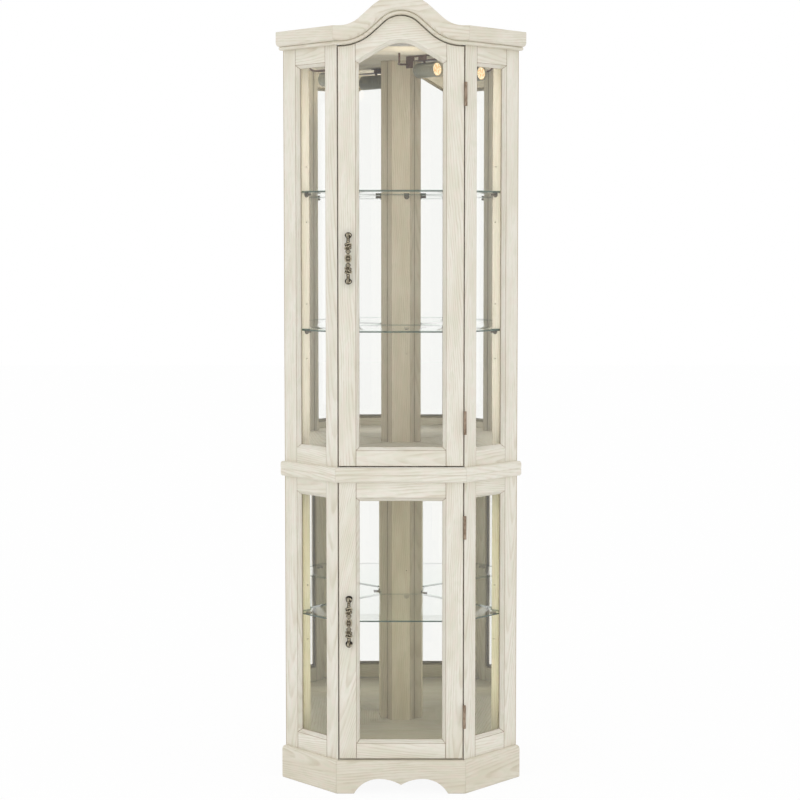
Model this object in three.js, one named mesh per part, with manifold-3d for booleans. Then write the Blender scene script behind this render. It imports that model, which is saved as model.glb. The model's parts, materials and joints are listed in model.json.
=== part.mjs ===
// Corner curio cabinet: a five-sided oak case with two glazed doors, glazed sides and mirrored backs.
// Units are millimetres. +Z is up, the doors face -Y, and the origin lies on the floor below the
// middle of the cabinet's bounding box. Building happens with the closed doors' faces at Y = 0;
// the whole cabinet is shifted along Y at the end.
import * as THREE from 'three';
import { mergeVertices } from 'three/addons/utils/BufferGeometryUtils.js';
import Module from 'manifold-3d';

const wasm = await Module();
wasm.setup();

// Case plan: the front is as wide as a door, and the side panels run back from it at 45 degrees.
const frontHalf = 142;
const sideLength = 180;
const panelThick = 18;
const seamGap = 0.3;
const cutOverrun = 5;
const weldDistance = 0.0001;

// Levels above the floor.
const plinthTop = 75;
const waistBottom = 713;
const waistHeight = 34;
const crownBottom = 1692;
const crownBand = 41;
const archRise = 67;

// Doors and their surrounding gaps.
const doorSideGap = 2.5;
const doorBottomGap = 3;
const doorTopGap = 3;
const stileFlat = 39;
const railFlat = 35;
const bevel = 8;
const glassRabbetStart = 10;
const glassRabbetWidth = 8;
const glassThick = 4;

// The head of the upper door: an ogee outside, and a low pointed arch round the glass.
const archShoulder = 4;
const archCrestRadius = 57;
const archSlopeDegrees = 42;
const headRise = 45;
const headCrestRadius = 70;
const headDrop = 59;

// Side frames.
const sideStileFlat = 40;
const sideRailBelowCrown = 44;
const sideUpperSill = 42;
const sideLowerHead = 40;
const sideLowerSill = 46;
const sideRailClearance = 20;

// Mouldings: how far each stands out from the case, and the radii of its profile.
const crownOut = 24;
const crownBead = 4;
const crownOvolo = 9;
const crownEdge = 2;
const crownStopDeep = 6;
const crownStopDrop = 8;
const waistOut = 14.7;
const waistTopRound = 6;
const waistBottomRound = 7.5;
const waistGroove = 1.5;
const waistGrooveRise = 17;
const waistRailDeep = 40;
const plinthOut = 13.4;
const plinthTopRound = 8;
const plinthChamfer = 2;
const plinthThick = 20;
const scallopHalf = 107.5;
const scallopPeakHalf = 50;
const scallopRise = 34.5;
const scallopPoint = 20.5;

// Boards, mirrors and backs.
const boardThick = 18;
const boardFront = 18.5;
const mirrorThick = 3;
const backThick = 3;
const backInset = 1.5;
const backBottom = 20;

// Rear corner post.
const postFaceHalf = 23;
const postFaceDeep = 14.3;
const postShoulderHalf = 32.6;
const postLap = 6.6;
const postRearHalf = 24;

// Rear stiles, lapping the outer ends of the mirrors.
const rearStileThick = 14.7;
const rearStileWidth = 44;

// Glass shelves and the flanged pins that carry them.
const shelfThick = 5;
const bottomShelfZ = 388.5;
const middleShelfZ = 1050.5;
const topShelfZ = 1368;
const shelfFrontY = 24;
const shelfEdgeGap = 2;
const shelfRearGap = 2;
const pinRadius = 3;
const pinReach = 13;
const flangeRadius = 6.5;
const flangeThick = 1.5;
const postPinX = 14;
const pinInset = 8;
const sidePinU = 31;

// Pulls.
const handleLength = 117.5;
const handleWidth = 16;
const handleReach = 25;
const handleRoot = 13;
const handleInset = 22.75;
const handleUpperZ = 1218.5;
const handleLowerZ = 396;
const handlePostRadius = 3.6;
const handlePostInset = 7;
const handleRoseRadius = 6.2;
const handleRoseThick = 2.5;
// Half widths along one half of the pull, from its end to its middle, as shares of half the width.
const handleStepShares = [
  0, 0.06, 0.13, 0.18, 0.23, 0.29, 0.35, 0.41, 0.47, 0.53, 0.59, 0.65, 0.71, 0.79, 0.89, 1,
];
const handleSwellShares = [
  0.4, 0.66, 0.74, 0.62, 0.34, 0.42, 0.72, 0.86, 0.62, 0.9, 0.84, 0.5, 0.58, 0.84, 0.96, 1,
];
const handleDepthShare = 0.52;
const handleSides = 12;

// Butt hinges.
const hingeBelowCrown = 108;
const hingeAboveWaist = 101;
const hingeBelowWaist = 103;
const hingeAbovePlinth = 100;
const hingeAxisOut = 2.6;
const hingeAxisY = -3.2;
const knuckleRadius = 3.4;
const hingePinRadius = 1.4;
const hingeBoreRadius = 1.9;
const knuckleEnd = 13;
const knuckleMiddle = 27;
const knuckleGap = 0.4;
const leafThick = 0.8;
const leafDeep = 15;
const leafRelief = 2;

// Magnetic catches.
const catchWidth = 32;
const catchDeep = 14;
const catchTall = 12;
const catchInset = 6;
const catchLip = 3;

// Lamp: a can holder under an angle bracket, pointing forward along the right mirror.
const lampOffMirror = 74.9;
const lampOffPost = 93.7;
const lampBelowCeiling = 34.5;
const canRadius = 17.5;
const canWall = 1.5;
const canLength = 66;
const canRound = 3;
const socketDepth = 24;
const bulbRadius = 14.6;
const bulbNeckRadius = 7;
const bulbNeckLength = 9;
const bulbRim = 4;
const bulbDome = 2;
const bulbDomeShare = 0.75;
const bulbRecess = 1;
const knobRadius = 3.5;
const knobLength = 5;
const knobNeck = 1.5;
const bracketThick = 1.5;
const shieldHalf = 15;
const shieldRise = 4.3;
const shieldOverhang = 7;
const flangeStart = -24.6;
const flangeEnd = 42.1;
const tabEnd = -2;
const tabBottom = 6.5;
const windowFrom = 2.1;
const windowTo = 16.1;
const windowMargin = 3.5;
const footDeep = 12;
const stemRadius = 3;
const stemPlaceShare = 0.33;
const leadRadius = 2.4;
const leadAside = 43.7;
const leadForward = 76;
const leadDrop = 20;
const leadBend = 7;
const leadRunShort = 14;
const leadTabInset = 5;

// How finely curves are drawn: steps along an arc, and sides round a turned piece.
const edgeSteps = 2;
const cornerSteps = 3;
const roundSteps = 5;
const beadSteps = 6;
const lobeSteps = 7;
const archSteps = 12;
const crestSteps = 12;
const rodSides = 16;
const slimSides = 12;
const flangeSides = 20;
const canSides = 28;
const bulbSides = 24;
const leadSteps = 28;
const leadSides = 4;

const halfTurn = Math.PI;
const quarterTurn = Math.PI / 2;
const eighthTurn = Math.PI / 4;
const root2 = Math.SQRT2;
const mitreSlope = Math.tan(Math.PI / 8);

// Sizes that follow from the ones above.
const doorHalf = frontHalf - doorSideGap / 2;
const handleX = doorHalf - handleInset;
const doorOpeningHalf = doorHalf - stileFlat - bevel;
const stileNose = (doorSideGap / 2) * root2;
const waistTop = waistBottom + waistHeight;
const ceilingZ = crownBottom;
const caseTop = crownBottom + crownBand;
const doorBack = panelThick;
const insideV = panelThick + seamGap;
const innerX = (y) => frontHalf + y - insideV * root2;
const stopFrontY = doorBack + seamGap;
const crownStopBack = stopFrontY + crownStopDeep;
const mirrorBackU = sideLength;
const mirrorFrontU = sideLength - mirrorThick;
const backFrontU = sideLength + seamGap;
const backRearU = backFrontU + backThick;
const sumAt = (u) => frontHalf + u * root2;
const postRearY = sumAt(backFrontU - seamGap) - postRearHalf;
const shelfLevels = { bottom: bottomShelfZ, middle: middleShelfZ, top: topShelfZ };
const hingeAxisX = frontHalf + hingeAxisOut;
const lampZ = crownBottom - lampBelowCeiling;
const middleFloorZ = waistTop + seamGap + boardThick;
const floorZ = plinthTop;

const materials = {
  oak: new THREE.MeshStandardMaterial({ color: 0xded6c0, roughness: 0.62, metalness: 0 }),
  glass: new THREE.MeshStandardMaterial({
    color: 0xdfeee6, roughness: 0.03, transparent: true, opacity: 0.25,
  }),
  mirror: new THREE.MeshStandardMaterial({ color: 0xe8ece8, roughness: 0.02, metalness: 1 }),
  board: new THREE.MeshStandardMaterial({ color: 0xc9bfa6, roughness: 0.85, metalness: 0 }),
  pull: new THREE.MeshStandardMaterial({ color: 0x7a6a54, roughness: 0.42, metalness: 0.9 }),
  hinge: new THREE.MeshStandardMaterial({ color: 0x8f7d68, roughness: 0.4, metalness: 0.9 }),
  lampCan: new THREE.MeshStandardMaterial({ color: 0x74766c, roughness: 0.35, metalness: 0.8 }),
  lampBracket: new THREE.MeshStandardMaterial({ color: 0x6a5348, roughness: 0.45, metalness: 0.6 }),
  bulb: new THREE.MeshStandardMaterial({ color: 0xfff3cf, roughness: 0.2, emissive: 0xffe0a0 }),
  plastic: new THREE.MeshStandardMaterial({ color: 0xe9e4d6, roughness: 0.5, metalness: 0 }),
};

// Shape helpers.

function shapeFrom(points) {
  return new THREE.Shape(points.map(([x, y]) => new THREE.Vector2(x, y)));
}

// A plan outline raised from one level to another.
function raised(points, bottom, top) {
  const depth = top - bottom;
  const geometry = new THREE.ExtrudeGeometry(shapeFrom(points), { depth, bevelEnabled: false });
  return geometry.translate(0, 0, bottom);
}

// An outline seen from the front, given as [x, z], with its thickness running from front to back.
function upright(points, front, back) {
  const depth = back - front;
  const geometry = new THREE.ExtrudeGeometry(shapeFrom(points), { depth, bevelEnabled: false });
  return geometry.rotateX(quarterTurn).translate(0, back, 0);
}

function block(x0, x1, y0, y1, z0, z1) {
  const geometry = new THREE.BoxGeometry(Math.abs(x1 - x0), Math.abs(y1 - y0), Math.abs(z1 - z0));
  return geometry.translate((x0 + x1) / 2, (y0 + y1) / 2, (z0 + z1) / 2);
}

function rod(radius, from, to, sides = rodSides) {
  const start = new THREE.Vector3(...from);
  const end = new THREE.Vector3(...to);
  const along = end.clone().sub(start);
  const geometry = new THREE.CylinderGeometry(radius, radius, along.length(), sides);
  const turn = new THREE.Quaternion().setFromUnitVectors(new THREE.Vector3(0, 1, 0), along.normalize());
  const middle = start.add(end).multiplyScalar(1 / 2);
  return geometry.applyQuaternion(turn).translate(middle.x, middle.y, middle.z);
}

// Area of a closed outline, positive when it runs anticlockwise.
function signedArea(points) {
  let total = 0;
  points.forEach((point, index) => {
    const next = points[(index + 1) % points.length];
    total += point.x * next.y - next.x * point.y;
  });
  return total / 2;
}

// Triangles over a flat ring of points, running the same way round as the ring.
function capTriangles(ring) {
  const normal = new THREE.Vector3();
  ring.forEach((point, index) => {
    const next = ring[(index + 1) % ring.length];
    normal.add(point.clone().cross(next));
  });
  const turn = new THREE.Quaternion().setFromUnitVectors(normal.normalize(), new THREE.Vector3(0, 0, 1));
  const flat = ring.map((point) => {
    const turned = point.clone().applyQuaternion(turn);
    return new THREE.Vector2(turned.x, turned.y);
  });
  return THREE.ShapeUtils.triangulateShape(flat, []).map(([a, b, c]) => {
    const forward = signedArea([flat[a], flat[b], flat[c]]) > 0;
    return forward ? [a, b, c] : [a, c, b];
  });
}

// A closed body through rings of equal count, each a list of Vector3, with flat end caps.
function loft(rings) {
  const count = rings[0].length;
  const points = rings.flat();
  const faces = [];
  for (let row = 0; row < rings.length - 1; row += 1) {
    for (let column = 0; column < count; column += 1) {
      const a = row * count + column;
      const b = row * count + ((column + 1) % count);
      faces.push([a, b, b + count], [a, b + count, a + count]);
    }
  }
  const last = (rings.length - 1) * count;
  capTriangles(rings[0]).forEach(([a, b, c]) => faces.push([a, c, b]));
  capTriangles(rings[rings.length - 1]).forEach(([a, b, c]) => faces.push([last + a, last + b, last + c]));
  let volume = 0;
  faces.forEach(([a, b, c]) => {
    volume += points[a].dot(points[b].clone().cross(points[c]));
  });
  const outward = volume > 0 ? faces : faces.map(([a, b, c]) => [a, c, b]);
  const geometry = new THREE.BufferGeometry();
  const places = points.flatMap((point) => point.toArray());
  geometry.setAttribute('position', new THREE.Float32BufferAttribute(places, 3));
  geometry.setIndex(outward.flat());
  return geometry;
}

function toSolid(geometry) {
  const bare = geometry.clone();
  bare.deleteAttribute('normal');
  bare.deleteAttribute('uv');
  const merged = mergeVertices(bare, weldDistance);
  return new wasm.Manifold(new wasm.Mesh({
    numProp: 3,
    vertProperties: new Float32Array(merged.attributes.position.array),
    triVerts: new Uint32Array(merged.index.array),
  }));
}

function fromSolid(solid) {
  const mesh = solid.getMesh();
  const geometry = new THREE.BufferGeometry();
  geometry.setAttribute('position', new THREE.BufferAttribute(new Float32Array(mesh.vertProperties), 3));
  geometry.setIndex(new THREE.BufferAttribute(new Uint32Array(mesh.triVerts), 1));
  return geometry;
}

function cut(geometry, ...tools) {
  return fromSolid(tools.reduce((solid, tool) => solid.subtract(toSolid(tool)), toSolid(geometry)));
}

function join(geometry, ...others) {
  return fromSolid(others.reduce((solid, other) => solid.add(toSolid(other)), toSolid(geometry)));
}

const cabinet = new THREE.Group();
const sideGroups = {
  left: new THREE.Group(),
  right: new THREE.Group(),
};
const handOf = { left: -1, right: 1 };
Object.entries(sideGroups).forEach(([name, group]) => {
  group.position.x = handOf[name] * frontHalf;
  group.rotation.z = handOf[name] * eighthTurn;
  cabinet.add(group);
});

function place(parent, name, geometry, material) {
  const shown = geometry.index ? geometry.toNonIndexed() : geometry;
  shown.computeVertexNormals();
  const mesh = new THREE.Mesh(shown, material);
  mesh.name = name;
  parent.add(mesh);
  return mesh;
}

// Points on an arc from one angle to another, both in degrees and both included.
function arc(centreX, centreY, radius, fromDegrees, toDegrees, steps) {
  return Array.from({ length: steps + 1 }, (_, step) => {
    const angle = THREE.MathUtils.degToRad(fromDegrees + ((toDegrees - fromDegrees) * step) / steps);
    return [centreX + radius * Math.cos(angle), centreY + radius * Math.sin(angle)];
  });
}

// Each point of an open line moved along the line's left-hand normal.
function offsetLine(points, distance) {
  return points.map((point, index) => {
    const before = points[Math.max(index - 1, 0)];
    const after = points[Math.min(index + 1, points.length - 1)];
    const length = Math.hypot(after[0] - before[0], after[1] - before[1]);
    const across = [-(after[1] - before[1]) / length, (after[0] - before[0]) / length];
    return [point[0] + across[0] * distance, point[1] + across[1] * distance];
  });
}

function heightAt(line, x) {
  const index = Math.min(Math.max(line.findIndex((point) => point[0] >= x), 1), line.length - 1);
  const [x0, z0] = line[index - 1];
  const [x1, z1] = line[index];
  return z0 + ((z1 - z0) * (x - x0)) / (x1 - x0);
}

// The stretch of a left-to-right line between two X values.
function stretch(line, from, to) {
  const inner = line.filter(([x]) => x > from && x < to);
  return [[from, heightAt(line, from)], ...inner, [to, heightAt(line, to)]];
}

// A closed outline grown outwards by a distance, with mitred corners.
function grown(points, distance) {
  const shape = points.map(([x, y]) => new THREE.Vector2(x, y));
  const turn = Math.sign(signedArea(shape));
  return points.map((point, index) => {
    const before = points[(index + points.length - 1) % points.length];
    const after = points[(index + 1) % points.length];
    const into = [point[0] - before[0], point[1] - before[1]];
    const out = [after[0] - point[0], after[1] - point[1]];
    const intoLength = Math.hypot(...into);
    const outLength = Math.hypot(...out);
    const first = [(turn * into[1]) / intoLength, (-turn * into[0]) / intoLength];
    const second = [(turn * out[1]) / outLength, (-turn * out[0]) / outLength];
    const share = distance / (1 + first[0] * second[0] + first[1] * second[1]);
    return [point[0] + (first[0] + second[0]) * share, point[1] + (first[1] + second[1]) * share];
  });
}

// The ogee of the crown's lower edge, drawn from left to right.
function ogee(half, rise, crestRadius, slopeDegrees) {
  const slope = THREE.MathUtils.degToRad(slopeDegrees);
  const radii = (half * Math.sin(slope) - rise * Math.cos(slope)) / (1 - Math.cos(slope));
  const wingRadius = radii - crestRadius;
  const wing = arc(-half, wingRadius, wingRadius, -90, slopeDegrees - 90, archSteps);
  const crest = arc(0, rise - crestRadius, crestRadius, 90 + slopeDegrees, 90, archSteps);
  const left = [...wing, ...crest];
  const right = left.slice(0, -1).reverse().map(([x, z]) => [-x, z]);
  return [...left, ...right];
}

// Crown, waist and plinth: one profile each, given as [y, height], with the case face at y = 0.

function crownProfile(back) {
  const beadY = -(crownOut - crownOvolo - crownBead);
  const ovoloY = -(crownOut - crownOvolo);
  const beadTop = crownBead * 2;
  return [
    [back, 0],
    ...arc(beadY, crownBead, crownBead, 270, 90, beadSteps),
    ...arc(ovoloY, beadTop + crownOvolo, crownOvolo, 270, 180, roundSteps),
    ...arc(-crownOut + crownEdge, crownBand - crownEdge, crownEdge, 180, 90, edgeSteps),
    [back, crownBand],
  ];
}

function waistProfile(back) {
  return [
    [back, 0],
    ...arc(-waistOut + waistBottomRound, waistBottomRound, waistBottomRound, 270, 180, roundSteps),
    [-waistOut, waistGrooveRise - waistGroove],
    [-waistOut + waistGroove, waistGrooveRise],
    [-waistOut, waistGrooveRise + waistGroove],
    ...arc(-waistOut + waistTopRound, waistHeight - waistTopRound, waistTopRound, 180, 90, roundSteps),
    [back, waistHeight],
  ];
}

function plinthProfile(back) {
  return [
    [back, 0],
    [-plinthOut + plinthChamfer, 0],
    [-plinthOut, plinthChamfer],
    ...arc(-plinthOut + plinthTopRound, plinthTop - plinthTopRound, plinthTopRound, 180, 90, beadSteps),
    [back, plinthTop],
  ];
}

// What is cut from the ends of a front moulding: it stops on the mitre outside the case, and straight
// back from the corner inside it, clear of the nose of the side's front stile behind the doors.
function mitreTool(hand) {
  const far = crownOut + cutOverrun;
  const end = frontHalf - seamGap / 2;
  const wide = frontHalf + far * 2;
  const deep = waistRailDeep + cutOverrun;
  const outline = [
    [end + far * mitreSlope, -far], [end, 0], [end, doorBack], [innerX(doorBack), doorBack],
    [end, end - innerX(0)], [end, deep], [wide, deep], [wide, -far],
  ];
  return raised(outline.map(([x, y]) => [hand * x, y]), -cutOverrun, caseTop + cutOverrun);
}

const mouldingReach = frontHalf + crownOut;

function endRing(profile, base, hand) {
  return profile.map(([y, z]) => new THREE.Vector3(hand * mouldingReach, y, base + z));
}

function frontMoulding(profile, base) {
  const bar = loft([endRing(profile, base, -1), endRing(profile, base, 1)]);
  return cut(bar, mitreTool(-1), mitreTool(1));
}

// A side moulding in its side frame's own axes: x along the panel, y inwards.
function sideMoulding(profile, base, hand) {
  const mitreAt = (y) => y * mitreSlope + seamGap / 2;
  const start = profile.map(([y, z]) => new THREE.Vector3(hand * mitreAt(y), y, base + z));
  const end = profile.map(([y, z]) => new THREE.Vector3(hand * sideLength, y, base + z));
  return loft([start, end]);
}

const ogeeLine = ogee(frontHalf - archShoulder, archRise, archCrestRadius, archSlopeDegrees)
  .map(([x, z]) => [x, crownBottom + z]);

// The arched crown: its profile follows the ogee square to the line and ends in level mitred wings.
// A lip behind its lower edge stops the upper door and closes the gap over it.
function archedCrown() {
  const [, ...face] = crownProfile(crownStopBack);
  const profile = [
    [crownStopBack, -crownStopDrop], [stopFrontY, -crownStopDrop], [stopFrontY, 0], ...face,
  ];
  const rows = ogeeLine.map((_, index) => profile.map(([y, height]) => {
    const [x, z] = offsetLine(ogeeLine, height)[index];
    return new THREE.Vector3(x, y, z);
  }));
  const bar = loft([endRing(profile, crownBottom, -1), ...rows, endRing(profile, crownBottom, 1)]);
  return cut(bar, mitreTool(-1), mitreTool(1));
}

// The plinth's cut-out: two wide arches that meet in a low point.
function scallopTool() {
  const rise = scallopRise;
  const run = scallopHalf - scallopPeakHalf;
  const outerRadius = (run * run + rise * rise) / (2 * rise);
  const outerSweep = THREE.MathUtils.radToDeg(Math.asin(run / outerRadius));
  const dip = scallopRise - scallopPoint;
  const innerRadius = (scallopPeakHalf * scallopPeakHalf + dip * dip) / (2 * dip);
  const innerSweep = THREE.MathUtils.radToDeg(Math.asin(scallopPeakHalf / innerRadius));
  const outer = arc(scallopPeakHalf, rise - outerRadius, outerRadius, 90 - outerSweep, 90, archSteps);
  const inner = arc(scallopPeakHalf, rise - innerRadius, innerRadius, 90, 90 + innerSweep, lobeSteps);
  const half = [[scallopHalf, -cutOverrun], ...outer, ...inner.slice(1)];
  const otherHalf = half.slice(0, -1).reverse().map(([x, z]) => [-x, z]);
  return upright([...half, ...otherHalf], -plinthOut - cutOverrun, plinthThick + cutOverrun);
}

const plinthBack = plinthThick - plinthOut;
const plinthFront = cut(frontMoulding(plinthProfile(plinthBack), 0), scallopTool());
const waistRailFront = frontMoulding(waistProfile(waistRailDeep), waistBottom);
place(cabinet, 'plinth_front', plinthFront, materials.oak);
place(cabinet, 'waist_rail_front', waistRailFront, materials.oak);
place(cabinet, 'crown_front', archedCrown(), materials.oak);

// Glazed frames. A member keeps its flat width square, and its bevelled edge is mitred at the corners
// of the opening, so the rails are coped into the stiles.

// The bevel and the glass rabbet of an opening, cut from every member round it.
function openingTools(outline, thick) {
  const reach = cutOverrun;
  const ringAt = (distance, y) => grown(outline, distance).map(([x, z]) => new THREE.Vector3(x, y, z));
  return [
    loft([ringAt(bevel + reach, -reach), ringAt(0, bevel)]),
    upright(grown(outline, glassRabbetWidth), glassRabbetStart, thick + reach),
  ];
}

function pane(outline) {
  const front = glassRabbetStart + seamGap;
  return upright(grown(outline, glassRabbetWidth - seamGap), front, front + glassThick);
}

function rectangle(x0, x1, z0, z1) {
  return [[x0, z0], [x1, z0], [x1, z1], [x0, z1]];
}

// Side frames, in the side group's axes.
const sideOpenings = {
  lower: [sideLowerSill + plinthTop, waistBottom - sideLowerHead],
  upper: [waistTop + sideUpperSill, crownBottom - sideRailBelowCrown],
};
const sideOpeningStart = sideStileFlat + bevel;
const sideOpeningEnd = sideLength - sideStileFlat - bevel;

function sideOpening(hand, [bottom, top]) {
  return rectangle(hand * sideOpeningStart, hand * sideOpeningEnd, bottom, top);
}

// A stile's outline: full height at its flat width, with bevelled tongues beside the openings.
function stileOutline(edge, flat, inner, openings, bottom, top) {
  const tongues = openings.flatMap(([low, high]) => [
    [flat, low - bevel], [inner, low], [inner, high], [flat, high + bevel],
  ]);
  return [[edge, bottom], [flat, bottom], ...tongues, [flat, top], [edge, top]];
}

// A pin with its flange, standing out of a face along +Y before it is turned into place.
function shelfPin() {
  const peg = rod(pinRadius, [0, -flangeThick, 0], [0, pinReach, 0]);
  const flange = rod(flangeRadius, [0, -flangeThick / 2, 0], [0, flangeThick, 0], flangeSides);
  return join(peg, flange);
}

const pinLevels = Object.values(shelfLevels).map((level) => level - pinRadius - seamGap);

function sideStile(hand, which) {
  const outer = which === 'outer';
  const edge = outer ? sideLength : 0;
  const flat = outer ? sideLength - sideStileFlat : sideStileFlat;
  const inner = outer ? sideOpeningEnd : sideOpeningStart;
  const openings = [sideOpenings.lower, sideOpenings.upper];
  const outline = stileOutline(edge, flat, inner, openings, 0, caseTop).map(([x, z]) => [hand * x, z]);
  const tools = openings.flatMap((opening) => openingTools(sideOpening(hand, opening), panelThick));
  if (!outer) {
    // The nose is cut square beside the doors and left standing behind them, where it stops them.
    const far = panelThick + cutOverrun;
    const stopSum = stopFrontY * root2;
    const stopV = (stopSum - stileNose) / 2;
    const nose = [
      [-far, -far], [stileNose - far, -far], [stileNose + stopV, stopV], [stopSum - far, far], [-far, far],
    ];
    tools.push(raised(nose.map(([x, y]) => [hand * x, y]), -cutOverrun, caseTop + cutOverrun));
  }
  const body = cut(upright(outline, 0, panelThick), ...tools);
  if (outer) return body;
  const pins = pinLevels.map((level) => shelfPin().translate(hand * sidePinU, panelThick, level));
  return join(body, ...pins);
}

function sideRail(hand, low, high, openings) {
  const start = sideStileFlat + seamGap;
  const end = sideLength - start;
  const points = [[start, low], [end, low], [end, high], [start, high]];
  const [bottomLeft, bottomRight, topRight, topLeft] = points;
  const below = openings.find(([, top]) => top + bevel === low);
  const above = openings.find(([bottom]) => bottom - bevel === high);
  const outline = [
    bottomLeft,
    ...(below ? [[sideOpeningStart + seamGap, below[1]], [sideOpeningEnd - seamGap, below[1]]] : []),
    bottomRight,
    topRight,
    ...(above ? [[sideOpeningEnd - seamGap, above[0]], [sideOpeningStart + seamGap, above[0]]] : []),
    topLeft,
  ].map(([x, z]) => [hand * x, z]);
  const touching = [below, above].filter(Boolean);
  const tools = touching.flatMap((opening) => openingTools(sideOpening(hand, opening), panelThick));
  return cut(upright(outline, 0, panelThick), ...tools);
}

const openingList = [sideOpenings.lower, sideOpenings.upper];
const sideRails = {
  bottom_rail: [sideRailClearance, sideOpenings.lower[0] - bevel],
  middle_rail: [sideOpenings.lower[1] + bevel, sideOpenings.upper[0] - bevel],
  top_rail: [sideOpenings.upper[1] + bevel, caseTop],
};

Object.entries(sideGroups).forEach(([name, group]) => {
  const hand = handOf[name];
  place(group, `side_${name}_front_stile`, sideStile(hand, 'front'), materials.oak);
  place(group, `side_${name}_outer_stile`, sideStile(hand, 'outer'), materials.oak);
  ['bottom_rail', 'top_rail'].forEach((rail) => {
    place(group, `side_${name}_${rail}`, sideRail(hand, ...sideRails[rail], openingList), materials.oak);
  });
  const middle = sideRail(hand, ...sideRails.middle_rail, openingList);
  const band = sideMoulding(waistProfile(-seamGap), waistBottom, hand);
  const tongueStart = sideStileFlat + seamGap;
  const tongue = block(hand * tongueStart, hand * (sideLength - tongueStart),
    -waistOut / 2, panelThick / 2, waistBottom + waistBottomRound, waistTop - waistTopRound);
  place(group, `waist_rail_${name}`, join(band, tongue, middle), materials.oak);
  place(group, `plinth_${name}`, sideMoulding(plinthProfile(-seamGap), 0, hand), materials.oak);
  place(group, `crown_${name}`, sideMoulding(crownProfile(-seamGap), crownBottom, hand), materials.oak);
  Object.entries(sideOpenings).forEach(([level, opening]) => {
    place(group, `side_${name}_${level}_glass`, pane(sideOpening(hand, opening)), materials.glass);
  });
});

// Plan outlines. A point is given along and in from the right side panel and becomes [x, y].
function plan(u, v) {
  return [frontHalf + (u - v) / root2, (u + v) / root2];
}

// Both halves of a symmetrical plan outline, from its right half listed front to back.
function bothHalves(right) {
  return [...right, ...right.slice().reverse().map(([x, y]) => [-x, y])];
}

// Where the flat sides of the post meet the boards: the post's half-outline, front to back.
const mirrorSum = sumAt(mirrorFrontU - seamGap);
const backSum = sumAt(backFrontU - seamGap);
const postNeckX = postShoulderHalf - postLap;
const postNeck = [postNeckX, mirrorSum - postNeckX];
const postNeckDepth = (backSum - mirrorSum) / 2;
const postShoulderY = mirrorSum - postShoulderHalf;
const postFaceY = postShoulderY - postFaceDeep;
const postHalf = [
  [postFaceHalf, postFaceY],
  [postShoulderHalf, postShoulderY],
  postNeck,
  [postNeck[0] + postNeckDepth, postNeck[1] + postNeckDepth],
  [backSum - postRearY, postRearY],
];

function rearPost() {
  const body = raised(bothHalves(postHalf), 0, ceilingZ + boardThick);
  const pins = pinLevels.map((level) => shelfPin().rotateZ(halfTurn).translate(postPinX, postFaceY, level));
  return join(body, ...pins);
}
place(cabinet, 'rear_corner_post', rearPost(), materials.oak);

// The stiles that stand against the outer ends of the mirrors, with the holes for the shelf pins.
const rearStileFrontU = mirrorFrontU - seamGap - rearStileThick;
const rearStileEndV = insideV + rearStileWidth;
Object.entries(sideGroups).forEach(([name, group]) => {
  const hand = handOf[name];
  const body = block(hand * rearStileFrontU, hand * (mirrorFrontU - seamGap), insideV, rearStileEndV,
    floorZ + seamGap, ceilingZ - seamGap);
  const pins = pinLevels.map((level) => shelfPin().rotateZ(hand * quarterTurn)
    .translate(hand * rearStileFrontU, rearStileEndV - pinInset, level));
  place(group, `rear_stile_${name}`, join(body, ...pins), materials.oak);
});

// A board between the side frames and the backs, cut round the post.
function caseBoard(front, rearU, bottom) {
  const sideX = frontHalf + doorSideGap / 2 - seamGap;
  const frontCorner = front < doorBack
    ? [[sideX, front], [sideX, doorBack], [innerX(doorBack), doorBack]]
    : [[innerX(front), front]];
  const outline = [
    ...frontCorner,
    plan(rearU, insideV),
    [sumAt(rearU) - postShoulderY, postShoulderY],
  ];
  const postOutline = grown(bothHalves(postHalf), seamGap);
  const postTool = raised(postOutline, bottom - cutOverrun, bottom + boardThick + cutOverrun);
  return cut(raised(bothHalves(outline), bottom, bottom + boardThick), postTool);
}

// The same board cut round the rear stiles too.
function notchedBoard(front, rearU, bottom) {
  const notches = [-1, 1].map((hand) => {
    const corners = [
      [rearStileFrontU - seamGap, insideV - cutOverrun],
      [sideLength, insideV - cutOverrun],
      [sideLength, rearStileEndV + seamGap],
      [rearStileFrontU - seamGap, rearStileEndV + seamGap],
    ];
    const outline = corners.map(([u, v]) => plan(u, v)).map(([x, y]) => [hand * x, y]);
    return raised(outline, bottom - cutOverrun, bottom + boardThick + cutOverrun);
  });
  return cut(caseBoard(front, rearU, bottom), ...notches);
}

const fullRearU = backFrontU - seamGap;
const floorBoard = caseBoard(plinthBack + seamGap, fullRearU, floorZ - boardThick);
const middleBoard = notchedBoard(boardFront, mirrorFrontU - seamGap, middleFloorZ - boardThick);
const topBoard = caseBoard(crownStopBack + seamGap, fullRearU, ceilingZ);
place(cabinet, 'floor_board', floorBoard, materials.oak);
place(cabinet, 'middle_board', middleBoard, materials.oak);
place(cabinet, 'top_board', topBoard, materials.oak);

// Mirrors and backs, in the side groups' axes.
const postPlaneV = (difference) => (difference + frontHalf) / root2;
const mirrorEndV = postPlaneV(postNeck[1] - postNeck[0]) - seamGap;
const backEndV = postPlaneV(2 * postRearY - sumAt(backRearU));
Object.entries(sideGroups).forEach(([name, group]) => {
  const hand = handOf[name];
  place(group, `mirror_${name}`, block(hand * mirrorFrontU, hand * mirrorBackU, insideV, mirrorEndV,
    floorZ + seamGap, ceilingZ - seamGap), materials.mirror);
  place(group, `back_panel_${name}`, block(hand * backFrontU, hand * backRearU, backInset, backEndV,
    backBottom, ceilingZ + boardThick), materials.board);
});

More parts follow.
